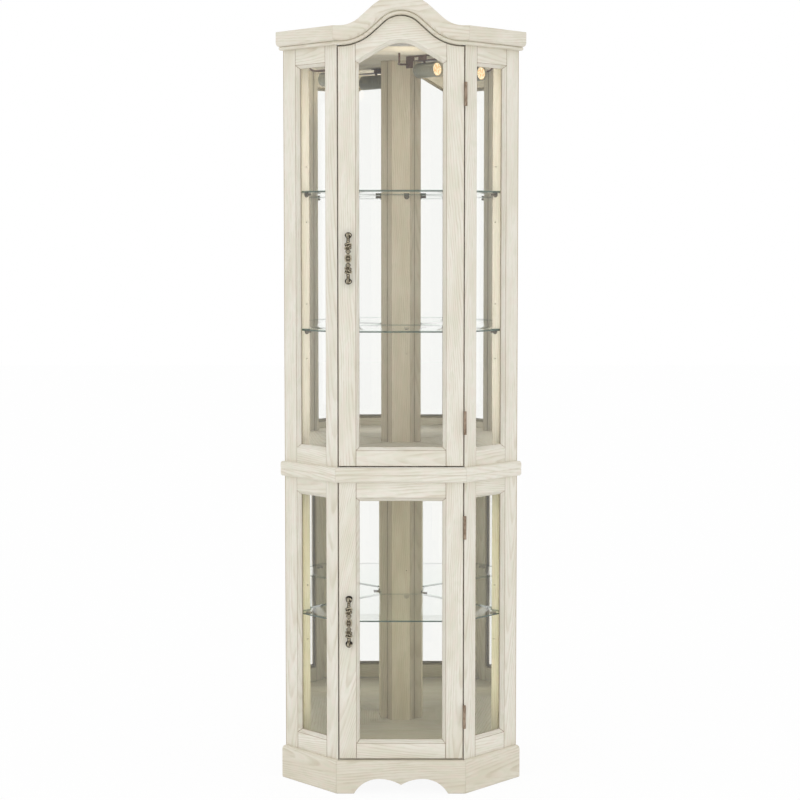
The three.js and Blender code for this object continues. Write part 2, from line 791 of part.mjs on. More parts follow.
// Doors.
const archTop = offsetLine(ogeeLine, -doorTopGap);
const archEnds = [[-frontHalf, archTop[0][1]], ...archTop, [frontHalf, archTop[0][1]]];
const stileSeam = doorHalf - stileFlat;
const lowerDoor = { bottom: plinthTop + doorBottomGap, top: waistBottom - seamGap * 2 };
const upperDoor = { bottom: waistTop + doorBottomGap };
const crownCrest = crownBottom + archRise - doorTopGap;
const headTop = crownCrest - headDrop;

// The pointed arch over the upper door's glass, from left to right.
function headLine() {
  const crestZ = headTop - headCrestRadius;
  const cornerZ = headTop - headRise;
  const reach = Math.hypot(doorOpeningHalf, cornerZ - crestZ);
  const lean = Math.atan2(doorOpeningHalf, cornerZ - crestZ);
  const sweep = THREE.MathUtils.radToDeg(lean - Math.acos(headCrestRadius / reach));
  const crest = arc(0, crestZ, headCrestRadius, 90 + sweep, 90 - sweep, crestSteps);
  return [[-doorOpeningHalf, cornerZ], ...crest, [doorOpeningHalf, cornerZ]];
}

const lowerOpening = rectangle(-doorOpeningHalf, doorOpeningHalf,
  lowerDoor.bottom + railFlat + bevel, lowerDoor.top - railFlat - bevel);
const upperSill = upperDoor.bottom + railFlat + bevel;
const upperHead = headLine();
const upperOpening = [
  [-doorOpeningHalf, upperSill], [doorOpeningHalf, upperSill], ...upperHead.slice().reverse(),
];
const upperBevelLine = grown(upperOpening, bevel);
const headCorner = upperBevelLine[2];

function doorStile(hand, bottom, opening, topLine) {
  const sill = opening[0];
  const head = opening[1];
  const tongue = [
    [stileSeam, sill - bevel], [doorOpeningHalf, sill], [doorOpeningHalf, head[0]], [stileSeam, head[1]],
  ];
  const top = stretch(topLine, stileSeam, doorHalf);
  const outline = [[doorHalf, bottom], [stileSeam, bottom], ...tongue, ...top];
  return upright(outline.map(([x, z]) => [hand * x, z]), 0, doorBack);
}

function levelRail(low, high, sillAt, headAt) {
  const seam = stileSeam - seamGap;
  const tip = doorOpeningHalf - seamGap;
  const top = sillAt === undefined
    ? [[seam, high], [-seam, high]]
    : [[seam, sillAt - bevel], [tip, sillAt], [-tip, sillAt], [-seam, sillAt - bevel]];
  const bottom = headAt === undefined
    ? [[-seam, low], [seam, low]]
    : [[-seam, headAt + bevel], [-tip, headAt], [tip, headAt], [seam, headAt + bevel]];
  return upright([...bottom, ...top], 0, doorBack);
}

function archedRail() {
  const seam = stileSeam - seamGap;
  const tip = doorOpeningHalf - seamGap;
  const cornerZ = headTop - headRise;
  const inner = stretch(upperHead, -tip, tip);
  const outline = [
    [-seam, headCorner[1]], [-tip, cornerZ + seamGap], ...inner.slice(1, -1), [tip, cornerZ + seamGap],
    [seam, headCorner[1]], ...stretch(archEnds, -seam, seam).reverse(),
  ];
  return upright(outline, 0, doorBack);
}

const flatTop = [[-frontHalf, lowerDoor.top], [frontHalf, lowerDoor.top]];
const lowerHead = lowerDoor.top - railFlat - bevel;
const lowerSill = lowerDoor.bottom + railFlat + bevel;
const lowerSpan = [lowerSill, [lowerHead, lowerHead + bevel]];
const upperSpan = [upperSill, [headTop - headRise, headCorner[1]]];
const lowerTools = openingTools(lowerOpening, doorBack);
const upperTools = openingTools(upperOpening, doorBack);

function placeDoorPiece(name, geometry, tools) {
  place(cabinet, name, cut(geometry, ...tools), materials.oak);
}
placeDoorPiece('lower_door_latch_stile', doorStile(-1, lowerDoor.bottom, lowerSpan, flatTop), lowerTools);
placeDoorPiece('lower_door_hinge_stile', doorStile(1, lowerDoor.bottom, lowerSpan, flatTop), lowerTools);
placeDoorPiece('lower_door_top_rail', levelRail(0, lowerDoor.top, undefined, lowerHead), lowerTools);
placeDoorPiece('lower_door_bottom_rail', levelRail(lowerDoor.bottom, 0, lowerSill, undefined), lowerTools);
placeDoorPiece('upper_door_latch_stile', doorStile(-1, upperDoor.bottom, upperSpan, archEnds), upperTools);
placeDoorPiece('upper_door_hinge_stile', doorStile(1, upperDoor.bottom, upperSpan, archEnds), upperTools);
placeDoorPiece('upper_door_arched_rail', archedRail(), upperTools);
placeDoorPiece('upper_door_bottom_rail', levelRail(upperDoor.bottom, 0, upperSill, undefined), upperTools);
place(cabinet, 'lower_door_glass', pane(lowerOpening), materials.glass);
place(cabinet, 'upper_door_glass', pane(upperOpening), materials.glass);

// Bow pulls: a swelling bar on two posts with round feet.
function pull(centreZ) {
  const half = handleLength / 2;
  const halfWidth = handleWidth / 2;
  const depth = halfWidth * handleDepthShare;
  const bow = handleReach - depth - handleRoot;
  const station = (share, swell, end) => {
    const z = end * half * (1 - share);
    const y = -(handleRoot + bow * Math.cos((z / half) * quarterTurn));
    return Array.from({ length: handleSides }, (_, side) => {
      const angle = (side / handleSides) * halfTurn * 2;
      const x = halfWidth * swell * Math.cos(angle);
      return new THREE.Vector3(x, y + depth * swell * Math.sin(angle), z);
    });
  };
  const lowerHalf = handleStepShares.map((share, index) => station(share, handleSwellShares[index], -1));
  const upperHalf = handleStepShares.map((share, index) => station(share, handleSwellShares[index], 1));
  const bar = loft([...lowerHalf, ...upperHalf.slice(0, -1).reverse()]);
  const feet = [-1, 1].flatMap((end) => {
    const z = end * (half - handlePostInset);
    return [
      rod(handlePostRadius, [0, -handleRoot - depth / 2, z], [0, -seamGap, z], slimSides),
      rod(handleRoseRadius, [0, -seamGap - handleRoseThick, z], [0, -seamGap, z]),
    ];
  });
  return join(bar, ...feet).translate(-handleX, 0, centreZ);
}
place(cabinet, 'upper_door_handle', pull(handleUpperZ), materials.pull);
place(cabinet, 'lower_door_handle', pull(handleLowerZ), materials.pull);

// Butt hinges: the frame leaf holds the pin and the end knuckles, the door leaf the middle one.
function knuckle(bottom, top, radius) {
  return rod(radius, [hingeAxisX, hingeAxisY, bottom], [hingeAxisX, hingeAxisY, top]);
}

function hingeLeaves(centreZ) {
  const half = knuckleMiddle / 2;
  const end = half + knuckleEnd;
  const frameX = [frontHalf + seamGap / 2, frontHalf + seamGap / 2 + leafThick];
  const doorX = [frontHalf - seamGap / 2 - leafThick, frontHalf - seamGap / 2];
  const leafFront = hingeAxisY + knuckleRadius + leafRelief;
  const plate = ([x0, x1], tabs) => [
    block(x0, x1, leafFront, leafDeep, centreZ - end, centreZ + end),
    ...tabs.map(([low, high]) => block(x0, x1, hingeAxisY, leafFront + leafThick,
      centreZ + low, centreZ + high)),
  ];
  const lower = [-end, -half];
  const upper = [half, end];
  const middle = [-half + knuckleGap, half - knuckleGap];
  const [framePlate, ...frameTabs] = plate(frameX, [lower, upper]);
  const [doorPlate, ...doorTabs] = plate(doorX, [middle]);
  const frameLeaf = join(framePlate, ...frameTabs,
    knuckle(centreZ - end, centreZ - half, knuckleRadius),
    knuckle(centreZ + half, centreZ + end, knuckleRadius),
    knuckle(centreZ - end, centreZ + end, hingePinRadius));
  const bore = knuckle(centreZ - end, centreZ + end, hingeBoreRadius);
  const middleKnuckle = knuckle(centreZ + middle[0], centreZ + middle[1], knuckleRadius);
  const doorLeaf = cut(join(doorPlate, ...doorTabs, middleKnuckle), bore);
  return { frameLeaf, doorLeaf };
}

const hingeLevels = {
  upper: { top: crownBottom - hingeBelowCrown, bottom: waistTop + hingeAboveWaist },
  lower: { top: waistBottom - hingeBelowWaist, bottom: plinthTop + hingeAbovePlinth },
};
Object.entries(hingeLevels).forEach(([door, levels]) => {
  Object.entries(levels).forEach(([spot, level]) => {
    const { frameLeaf, doorLeaf } = hingeLeaves(level);
    place(cabinet, `${door}_door_${spot}_hinge_frame_leaf`, frameLeaf, materials.hinge);
    place(cabinet, `${door}_door_${spot}_hinge_door_leaf`, doorLeaf, materials.hinge);
  });
});

// Magnetic catches behind the latch side of each door, standing on the board below.
function magneticCatch(base) {
  const right = -innerX(boardFront) + catchInset + catchWidth;
  const front = boardFront + seamGap;
  const middle = right - catchWidth / 2;
  const bottom = base + seamGap;
  const back = front + catchDeep;
  const body = block(right - catchWidth, right, front, back, bottom, bottom + catchTall);
  const nose = block(middle - catchLip, middle + catchLip, front + catchDeep / 2, back + catchLip,
    bottom, bottom + catchTall / 2);
  return join(body, nose);
}
place(cabinet, 'lower_door_catch', magneticCatch(floorZ), materials.plastic);
place(cabinet, 'upper_door_catch', magneticCatch(middleFloorZ), materials.plastic);

// Glass shelves, notched round the rear stiles.
function glassShelf(level) {
  const edgeV = panelThick + shelfEdgeGap;
  const rearU = mirrorFrontU - shelfRearGap;
  const notchU = rearStileFrontU - shelfRearGap;
  const notchV = rearStileEndV + shelfRearGap;
  const rearY = postFaceY - shelfRearGap;
  const right = [
    [frontHalf + shelfFrontY - edgeV * root2, shelfFrontY],
    plan(notchU, edgeV),
    plan(notchU, notchV),
    plan(rearU, notchV),
    [sumAt(rearU) - rearY, rearY],
  ];
  return raised(bothHalves(right), level, level + shelfThick);
}
Object.entries(shelfLevels).forEach(([name, level]) => {
  place(cabinet, `${name}_glass_shelf`, glassShelf(level), materials.glass);
});

// Lamp, built along +X from the closed end of its can and then turned to run beside the right mirror.
const lamp = new THREE.Group();
const [lampX, lampY] = plan(mirrorFrontU - lampOffMirror, mirrorEndV - lampOffPost);
lamp.position.set(lampX, lampY, lampZ);
lamp.rotation.z = -eighthTurn;
cabinet.add(lamp);

// A turned body about the X axis from its [x, radius] profile.
function turned(profile, sides) {
  const lathe = new THREE.LatheGeometry(profile.map(([x, radius]) => new THREE.Vector2(radius, x)), sides);
  return lathe.rotateZ(-quarterTurn);
}

const socketFace = canWall + socketDepth;
const canBody = turned([
  [0, 0], [0, canRadius - canRound], ...arc(canRound, canRadius - canRound, canRound, 180, 90, cornerSteps),
  [canLength, canRadius], [canLength, canRadius - canWall],
  [socketFace, canRadius - canWall], [socketFace, 0],
], canSides);
place(lamp, 'lamp_holder', canBody, materials.lampCan);

const knobStart = -seamGap;
const knobBody = turned([
  [knobStart - knobLength, 0], [knobStart - knobLength, knobRadius], [knobStart - knobNeck, knobRadius],
  [knobStart - knobNeck, knobRadius - knobNeck], [knobStart, knobRadius - knobNeck], [knobStart, 0],
], rodSides);
place(lamp, 'lamp_switch_knob', knobBody, materials.lampBracket);

const bulbStart = socketFace + seamGap;
const bulbFace = canLength - bulbRecess - bulbDome;
const bulbBody = turned([
  [bulbStart, 0], [bulbStart, bulbNeckRadius], [bulbStart + bulbNeckLength, bulbNeckRadius],
  [bulbFace - bulbRim, bulbRadius], [bulbFace, bulbRadius],
  [bulbFace + bulbDome * bulbDomeShare, bulbRadius / 2], [bulbFace + bulbDome, 0],
], bulbSides);
place(lamp, 'lamp_bulb', bulbBody, materials.bulb);

// The bracket: a flange with a window rises to a foot on the ceiling, and a shield spans the can.
const shieldBottom = canRadius + shieldRise;
const ceilingLocal = ceilingZ - lampZ - seamGap;
const flangeFront = -shieldHalf;
const flangeBack = flangeFront + bracketThick;
const shield = block(tabEnd, canLength + shieldOverhang, -shieldHalf, shieldHalf,
  shieldBottom, shieldBottom + bracketThick);
const flange = block(flangeStart, flangeEnd, flangeFront, flangeBack, shieldBottom, ceilingLocal);
const tab = block(flangeStart, tabEnd, flangeFront, flangeBack, tabBottom, ceilingLocal);
const foot = block(flangeStart, flangeEnd, flangeFront, flangeFront + footDeep,
  ceilingLocal - bracketThick, ceilingLocal);
const stemX = canLength * stemPlaceShare;
const stemTop = shieldBottom + bracketThick / 2;
const stem = rod(stemRadius, [stemX, 0, canRadius + seamGap], [stemX, 0, stemTop], slimSides);
const windowCut = block(windowFrom, windowTo, flangeFront - cutOverrun, flangeBack + cutOverrun,
  shieldBottom + bracketThick, ceilingLocal - windowMargin);

// The lead drops from the ceiling, runs back and meets the tab squarely.
function lampLead() {
  lamp.updateWorldMatrix(true, false);
  const tabX = flangeStart + leadTabInset;
  const tabCentre = new THREE.Vector3(tabX, flangeFront + bracketThick / 2, canRadius - leadRadius);
  const meeting = lamp.localToWorld(tabCentre.clone());
  const square = lamp.localToWorld(tabCentre.clone().setY(tabCentre.y - leadBend)).sub(meeting);
  const leadX = lampX - leadAside;
  const leadY = lampY - leadForward;
  const top = new THREE.Vector3(leadX, leadY, ceilingZ - seamGap);
  const low = ceilingZ - leadDrop;
  const route = new THREE.CatmullRomCurve3([
    top,
    new THREE.Vector3(leadX, leadY, low + leadBend),
    new THREE.Vector3(leadX, leadY + leadBend, low),
    new THREE.Vector3(leadX, lampY - leadRunShort, low),
    meeting.clone().add(square),
    meeting,
  ], false, 'centripetal');
  const section = new THREE.Shape().absarc(0, 0, leadRadius, 0, halfTurn * 2);
  const drawn = { steps: leadSteps, curveSegments: leadSides, extrudePath: route };
  const tube = new THREE.ExtrudeGeometry(section, drawn);
  return tube.applyMatrix4(lamp.matrixWorld.clone().invert());
}

place(lamp, 'lamp_bracket', join(cut(join(shield, flange, tab, foot), windowCut), stem, lampLead()),
  materials.lampBracket);

// Stand the cabinet so that the origin lies under the middle of its box.
cabinet.position.y = (handleReach - postRearY) / 2;

export default cabinet;
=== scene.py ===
"""Corner curio cabinet in washed oak: glazed doors and sides, mirrored backs, glass shelves, a lamp."""
import json
import math
import random

import bmesh
import bpy
from mathutils import Matrix, Vector


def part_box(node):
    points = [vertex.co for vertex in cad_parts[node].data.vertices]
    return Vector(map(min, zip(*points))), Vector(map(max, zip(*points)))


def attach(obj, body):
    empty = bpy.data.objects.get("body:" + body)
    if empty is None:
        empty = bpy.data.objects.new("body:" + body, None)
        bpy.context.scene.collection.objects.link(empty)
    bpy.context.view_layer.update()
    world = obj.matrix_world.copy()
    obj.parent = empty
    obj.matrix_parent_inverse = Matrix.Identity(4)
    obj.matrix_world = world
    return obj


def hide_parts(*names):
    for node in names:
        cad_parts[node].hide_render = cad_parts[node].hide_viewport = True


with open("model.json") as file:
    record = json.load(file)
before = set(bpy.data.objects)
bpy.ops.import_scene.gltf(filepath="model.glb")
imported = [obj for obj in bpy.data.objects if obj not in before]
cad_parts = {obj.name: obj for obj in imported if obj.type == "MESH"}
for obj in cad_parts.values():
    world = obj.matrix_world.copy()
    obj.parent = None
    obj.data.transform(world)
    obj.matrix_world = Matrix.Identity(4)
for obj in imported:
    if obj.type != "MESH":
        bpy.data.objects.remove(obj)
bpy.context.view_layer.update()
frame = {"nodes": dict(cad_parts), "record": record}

nodes = frame["nodes"]
mm = 0.001

# The camera stands in front of the cabinet, 1.26 m up and a little over four metres away, and looks
# slightly down with a long lens.
camera_distance = 4.05
camera_height = 1.258
camera_pitch = math.radians(3.91)
camera_lens = 81.2
camera_sensor = 36
camera_aside = -2.29 * mm
camera_shift = -0.045
door_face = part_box("upper_door_bottom_rail")[0].y
camera = bpy.data.objects.new("camera", bpy.data.cameras.new("camera"))
camera.data.lens = camera_lens
camera.data.sensor_width = camera_sensor
camera.data.shift_y = camera_shift
camera.location = (camera_aside, door_face - camera_distance, camera_height)
camera.rotation_euler = (math.pi / 2 - camera_pitch, 0, 0)
bpy.context.scene.collection.objects.link(camera)
bpy.context.scene.camera = camera


# Shader maths: a Field wraps a socket, and Python arithmetic on it adds Math nodes.
class Field:
    def __init__(self, shader, socket):
        self.shader = shader
        self.socket = socket

    def math(self, operation, *others):
        return self.shader.node("ShaderNodeMath", {"operation": operation}, [self, *others])

    def __add__(self, other):
        return self.math("ADD", other)

    __radd__ = __add__

    def __sub__(self, other):
        return self.math("SUBTRACT", other)

    def __rsub__(self, other):
        return self.shader.node("ShaderNodeMath", {"operation": "SUBTRACT"}, [other, self])

    def __mul__(self, other):
        return self.math("MULTIPLY", other)

    __rmul__ = __mul__

    def __truediv__(self, other):
        return self.math("DIVIDE", other)

    def rises(self, low, high):
        """0 below low, 1 above high, and smooth between them."""
        sockets = {"Value": self, "From Min": low, "From Max": high}
        return self.shader.node("ShaderNodeMapRange", {"interpolation_type": "SMOOTHSTEP"}, sockets)


class Shader:
    """The nodes of one material, or of the world."""

    def __init__(self, name, home=None):
        self.home = home or bpy.data.materials.new(name)
        self.home.use_nodes = True
        self.tree = self.home.node_tree
        self.tree.nodes.clear()

    def node(self, kind, settings=None, sockets=(), output=0):
        made = self.tree.nodes.new(kind)
        for key, value in (settings or {}).items():
            setattr(made, key, value)
        pairs = sockets.items() if isinstance(sockets, dict) else enumerate(sockets)
        for key, value in pairs:
            if isinstance(value, Field):
                self.tree.links.new(value.socket, made.inputs[key])
            else:
                made.inputs[key].default_value = value
        return Field(self, made.outputs[output]) if made.outputs else made

    def place(self):
        return self.node("ShaderNodeTexCoord", {}, (), "Object")

    def stored(self, name, output="Fac"):
        """What a piece's mesh keeps under a name."""
        settings = {"attribute_type": "GEOMETRY", "attribute_name": name}
        return self.node("ShaderNodeAttribute", settings, (), output)

    def parts(self, vector):
        return [self.node("ShaderNodeSeparateXYZ", {}, [vector], axis) for axis in "XYZ"]

    def mixed(self, share, first, second, blend="MIX"):
        settings = {"data_type": "RGBA", "blend_type": blend}
        return self.node("ShaderNodeMix", settings, {0: share, 6: first, 7: second}, 2)

    def noise(self, vector, scales, detail=2.0, roughness=0.5):
        """Noise with its own scale along each axis."""
        mapped = self.node("ShaderNodeMapping", {}, {"Vector": vector, "Scale": scales})
        sockets = {"Vector": mapped, "Scale": 1.0, "Detail": detail, "Roughness": roughness}
        return self.node("ShaderNodeTexNoise", {}, sockets)

    def bump(self, height, depth, strength=1.0):
        return self.node("ShaderNodeBump", {}, {"Strength": strength, "Distance": depth, "Height": height})

    def principled(self, sockets):
        return self.node("ShaderNodeBsdfPrincipled", {}, sockets)

    def close(self, surface):
        self.node("ShaderNodeOutputMaterial", {}, {"Surface": surface})
        return self.home


def tone(red, green, blue):
    """A colour given as it is seen on a screen, from 0 to 255."""
    def linear(value):
        share = value / 255
        return share / 12.92 if share <= 0.04045 else ((share + 0.055) / 1.055) ** 2.4
    return (linear(red), linear(green), linear(blue), 1.0)


# The studio: an even white surround that is seen in glass and mirrors too, two soft boxes in front,
# and a pale floor that keeps the cabinet's shadow.
white = (1, 1, 1, 1)
surround_light = 0.92
soft_box_size = 2.4
soft_box_aim = Vector((0, 0, 0.9))
soft_boxes = {"soft_box_left": ((-2.6, -3.4, 2.9), 14), "soft_box_right": ((2.4, -3.8, 2.2), 10)}
floor_pale = (0.97, 0.97, 0.97, 1)
floor_glow = 0.93
floor_reach = 14.0
floor_drop = 0.2 * mm


def in_sight(shader):
    """1 for what the eye meets, also in glass or a mirror, and 0 for the light that falls on things."""
    rays = [shader.node("ShaderNodeLightPath", {}, (), f"Is {kind} Ray")
            for kind in ("Camera", "Glossy", "Transmission")]
    bounces = shader.node("ShaderNodeLightPath", {}, (), "Diffuse Depth")
    return rays[0].math("MAXIMUM", rays[1]).math("MAXIMUM", rays[2]) * (1 - bounces.math("MINIMUM", 1.0))


def hang_lamp(name, data):
    """A lamp that lights things and isn't seen itself."""
    lamp = bpy.data.objects.new(name, data)
    for sight in ("camera", "glossy", "transmission"):
        setattr(lamp, f"visible_{sight}", False)
    bpy.context.scene.collection.objects.link(lamp)
    return lamp


world = bpy.data.worlds.new("studio")
bpy.context.scene.world = world
surround = Shader("studio", world)
level = in_sight(surround) * (1 - surround_light) + surround_light
sky = surround.node("ShaderNodeBackground", {}, {"Color": white, "Strength": level})
surround.node("ShaderNodeOutputWorld", {}, {"Surface": sky})
for name, (place, power) in soft_boxes.items():
    lamp_data = bpy.data.lights.new(name, "AREA")
    lamp_data.size = soft_box_size
    lamp_data.energy = power
    soft_box = hang_lamp(name, lamp_data)
    soft_box.location = place
    soft_box.rotation_euler = (soft_box_aim - Vector(place)).to_track_quat("-Z", "Y").to_euler()
floor_mesh = bpy.data.meshes.new("studio_floor")
corners = [(x * floor_reach, y * floor_reach, -floor_drop) for x, y in ((-1, -1), (1, -1), (1, 1), (-1, 1))]
floor_mesh.from_pydata(corners, [], [(0, 1, 2, 3)])
studio_floor = bpy.data.objects.new("studio_floor", floor_mesh)
bpy.context.scene.collection.objects.link(studio_floor)
ground = Shader("pale_floor")
matt = ground.node("ShaderNodeBsdfDiffuse", {}, {"Color": floor_pale})
glow = ground.node("ShaderNodeEmission", {}, {"Color": white, "Strength": 1.0})
ground_mix = ground.node("ShaderNodeMixShader", {}, [in_sight(ground) * floor_glow, matt, glow])
floor_mesh.materials.append(ground.close(ground_mix))
bpy.context.scene.view_settings.view_transform = "Standard"

# Washed oak: pale cream boards whose rings show as soft tan arches and lines, with fine open pores.
# Brown glaze is left on the arrises, and painted light lifts the gaps round the doors to near white.
oak_cream = tone(235, 231, 219)
oak_shade = tone(226, 221, 205)
oak_blush = tone(233, 223, 211)
oak_moss = tone(222, 222, 204)
oak_line = tone(201, 191, 168)
oak_pore = tone(196, 184, 160)
# Tone towards which a painted shade darkens a board.
oak_painted_shade_tone = (0.81, 0.763, 0.677, 1.0)
oak_glaze = tone(134, 104, 76)
# Near white painted light for the faces in the shade of the gaps round the doors.
oak_gap_painted_light = tone(251, 249, 243)
ring_gap = 4.3 * mm
ring_slope = 0.05
log_depth = 30 * mm
wander_reach = 18 * mm
ripple_reach = 2.6 * mm
pore_depth = 0.16 * mm
oak = Shader("washed_oak")
grain = oak.stored("grain", "Vector")
across, depth, along = oak.parts(grain)
wander = oak.noise(grain, (16, 16, 3.4)) - 0.5
ripple = oak.noise(grain, (110, 110, 38), 1.0) - 0.5
shifted = across + wander * wander_reach + ripple * ripple_reach
away = depth + log_depth
radius = (shifted * shifted + away * away).math("SQRT")
ring = ((radius - along * ring_slope) / ring_gap).math("FRACT")
late = ring.rises(0.35, 0.85) * (1 - ring.rises(0.86, 1.0))
strength = oak.noise(grain, (60, 60, 16)).rises(0.3, 0.7)
fibre = oak.noise(grain, (900, 900, 26), 2.0, 0.6)
pores = fibre.rises(0.56, 0.7) * (0.3 + late * 0.7)
cloud = oak.noise(grain, (30, 30, 7), 2.0, 0.6)
mottle = oak.noise(grain, (95, 95, 34), 1.0)
colour = oak.mixed(cloud.rises(0.35, 0.68), oak_cream, oak_shade)
colour = oak.mixed(mottle.rises(0.52, 0.68) * 0.55, colour, oak_blush)
colour = oak.mixed((1 - mottle).rises(0.52, 0.68) * 0.5, colour, oak_moss)
colour = oak.mixed(late * (0.1 + strength * 0.42), colour, oak_line)
colour = oak.mixed(pores * 0.3, colour, oak_pore)
# Painted shade: the plinth, the crown and the rear post are darkened, each by its own share.
colour = oak.mixed(oak.stored("painted_shade_share"), colour, oak_painted_shade_tone, "MULTIPLY")
colour = oak.mixed(oak.stored("glaze"), colour, oak_glaze)
# Painted light: the faces in the gaps round the doors are lifted to near white.
colour = oak.mixed(oak.stored("gap_painted_light"), colour, oak_gap_painted_light)
relief = 1 - pores * 0.8 - late * 0.3
washed_oak = oak.close(oak.principled({
    "Base Color": colour,
    "Roughness": 0.5 + fibre * 0.16 + pores * 0.1,
    "Normal": oak.bump(relief, pore_depth, 0.5),
    "IOR": 1.45,
}))

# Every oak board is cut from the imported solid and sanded: its arrises are eased by a fraction of a
# millimetre and keep some glaze, so the joints between boards show as fine brown grooves. Each board
# has its own place in the log.
bodies = frame["record"]["behaviour"]["bodies"]
bodies_of = {node: body for body, members in bodies.items() for node in members}
arris = 0.42 * mm
arris_glaze = 0.95
arris_profile = 0.6
stile_low, stile_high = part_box("upper_door_latch_stile")
waist_low, waist_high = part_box("waist_rail_front")
door_depth = stile_high.y - stile_low.y
gap_margin = 1.5 * mm
gap_front = 0.6 * mm
gap_start = -stile_low.x - gap_margin
gap_reach = gap_start + 8 * mm
gap_depth = door_depth + 20 * mm
arch_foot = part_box("upper_door_hinge_stile")[1].z - 4 * mm
door_edges = [
    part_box("plinth_front")[1].z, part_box("lower_door_bottom_rail")[0].z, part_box("lower_door_top_rail")[1].z,
    waist_low.z, waist_high.z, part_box("upper_door_bottom_rail")[0].z,
]
crease = math.radians(33)
square_on = 0.9
sidelong = 0.5
upward = 0.3
flat_angle = math.radians(0.4)
weld = 0.002 * mm
chance = random.Random(11)
upright_asides = (26, 52)
level_asides = (12, 34)
depth_offsets = (-6, 10)
length_offsets = (0, 4)
lean_degrees = (-2.4, 2.4)
diagonal = math.sqrt(0.5)
vertical = Vector((0, 0, 1))
level_x = Vector((1, 0, 0))
rearward = Vector((0, 1, 0))
panel_line = {"left": Vector((-diagonal, diagonal, 0)), "right": Vector((diagonal, diagonal, 0))}
panel_back = {side: Vector((-line.x, line.y, 0)) for side, line in panel_line.items()}


def finished_object(name, mesh, materials=()):
    for material in materials:
        mesh.materials.append(material)
    made = bpy.data.objects.new(name, mesh)
    bpy.context.scene.collection.objects.link(made)
    return made


def fitted(piece, node=None, body=None):
    """Hides the node that a piece stands for and hangs the piece on the body that carries it."""
    if node:
        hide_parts(node)
    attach(piece, body or bodies_of[node])


def beside_gap(face):
    """Whether a face looks into a gap round a door. These faces take painted light that lifts their shade.

    Round the arch they are all that look up or squarely forwards, so the top of the crown is one.
    """
    place = face.calc_center_median()
    inside = place.y - stile_low.y
    if not gap_front < inside < gap_depth or abs(place.x) > gap_reach:
        return False
    if abs(place.x) > gap_start and (abs(face.normal.y) < sidelong or inside > door_depth):
        return True
    if abs(face.normal.z) > square_on and min(abs(place.z - edge) for edge in door_edges) < gap_margin:
        return True
    return place.z > arch_foot and (face.normal.z > upward or face.normal.y < -square_on)


def cleaned(node):
    """A node's mesh with its loose triangles welded and its flat faces made whole."""
    work = bmesh.new()
    work.from_mesh(nodes[node].data)
    bmesh.ops.remove_doubles(work, verts=work.verts, dist=weld)
    bmesh.ops.dissolve_limit(work, angle_limit=flat_angle, verts=work.verts, edges=work.edges)
    return work


def eased(node, width, segments=2, rubbed=arris_glaze):
    """A node's mesh with its sharp edges rounded over."""
    work = cleaned(node)
    bmesh.ops.dissolve_degenerate(work, dist=weld, edges=work.edges)
    glaze = work.faces.layers.float.new("glaze")
    gap_painted_light = work.faces.layers.float.new("gap_painted_light")
    if width:
        sharp = [edge for edge in work.edges if edge.is_manifold and edge.calc_face_angle() > crease]
        rounded = bmesh.ops.bevel(work, geom=sharp, offset=width, segments=segments, profile=arris_profile,
                                  affect="EDGES", clamp_overlap=True)
        for face in rounded["faces"]:
            face[glaze] = rubbed
    work.normal_update()
    # Faces in the gaps round the doors are marked for painted light.
    for face in work.faces:
        face.smooth = True
        face[gap_painted_light] = 1.0 if beside_gap(face) else 0.0
    for edge in work.edges:
        edge.smooth = not (edge.is_manifold and edge.calc_face_angle() > crease)
    mesh = bpy.data.meshes.new(f"{node}_surface")
    work.to_mesh(mesh)
    work.free()
    return mesh


def grained(mesh, length, face_across, painted_shade_share=0.0, slant=None):
    """Gives a board its place in the log: length runs along the grain, face_across over its face."""
    through = length.cross(face_across).normalized()
    upright = abs(length.z) > 0.5
    aside = chance.uniform(*(upright_asides if upright else level_asides))
    aside *= chance.choice((-1, 1))
    offset = Vector((aside * mm, chance.uniform(*depth_offsets) * mm, chance.uniform(*length_offsets)))
    lean = math.radians(chance.uniform(*lean_degrees) if slant is None else slant)
    length, face_across = (length * math.cos(lean) + face_across * math.sin(lean),
                           face_across * math.cos(lean) - length * math.sin(lean))
    middle = sum((v.co for v in mesh.vertices), Vector()) / len(mesh.vertices)
    ways = (face_across, through, length)
    values = []
    for vertex in mesh.vertices:
        spot = vertex.co - middle
        values += [spot.dot(way) + shift for way, shift in zip(ways, offset)]
    mesh.attributes.new("grain", "FLOAT_VECTOR", "POINT").data.foreach_set("vector", values)
    # Every vertex keeps the board's share of painted shade.
    mesh.attributes.new("painted_shade_share", "FLOAT", "POINT").data.foreach_set("value", [painted_shade_share] * len(mesh.vertices))


def oak_board(node, length, face_across, painted_shade_share=0.0, slant=None, rubbed=arris_glaze):
    mesh = eased(node, arris, rubbed=rubbed)
    grained(mesh, length, face_across, painted_shade_share, slant)
    fitted(finished_object(f"{node}_oak", mesh, [washed_oak]), node)


# The case: plinth, waist moulding and crown in three mitred pieces each, three boards, and the frames
# of the glazed sides, all of glued solid oak.
# The plinth and crown are darkened by a painted shade, the plinth the most.
moulding_painted_shades = {"plinth": 0.4, "waist_rail": 0.0, "crown": 0.26}
moulding_rub = 0.12
outer_slants = {"left": -5, "right": 3}
for moulding_name, painted_shade_share in moulding_painted_shades.items():
    oak_board(f"{moulding_name}_front", level_x, vertical, painted_shade_share, rubbed=moulding_rub)
for node in ("floor_board", "middle_board", "top_board"):
    oak_board(node, level_x, rearward)
for side, line in panel_line.items():
    for moulding_name, painted_shade_share in moulding_painted_shades.items():
        oak_board(f"{moulding_name}_{side}", line, vertical, painted_shade_share, rubbed=moulding_rub)
    for rail in ("top_rail", "bottom_rail"):
        oak_board(f"side_{side}_{rail}", line, vertical)
    oak_board(f"side_{side}_outer_stile", vertical, line, slant=outer_slants[side])

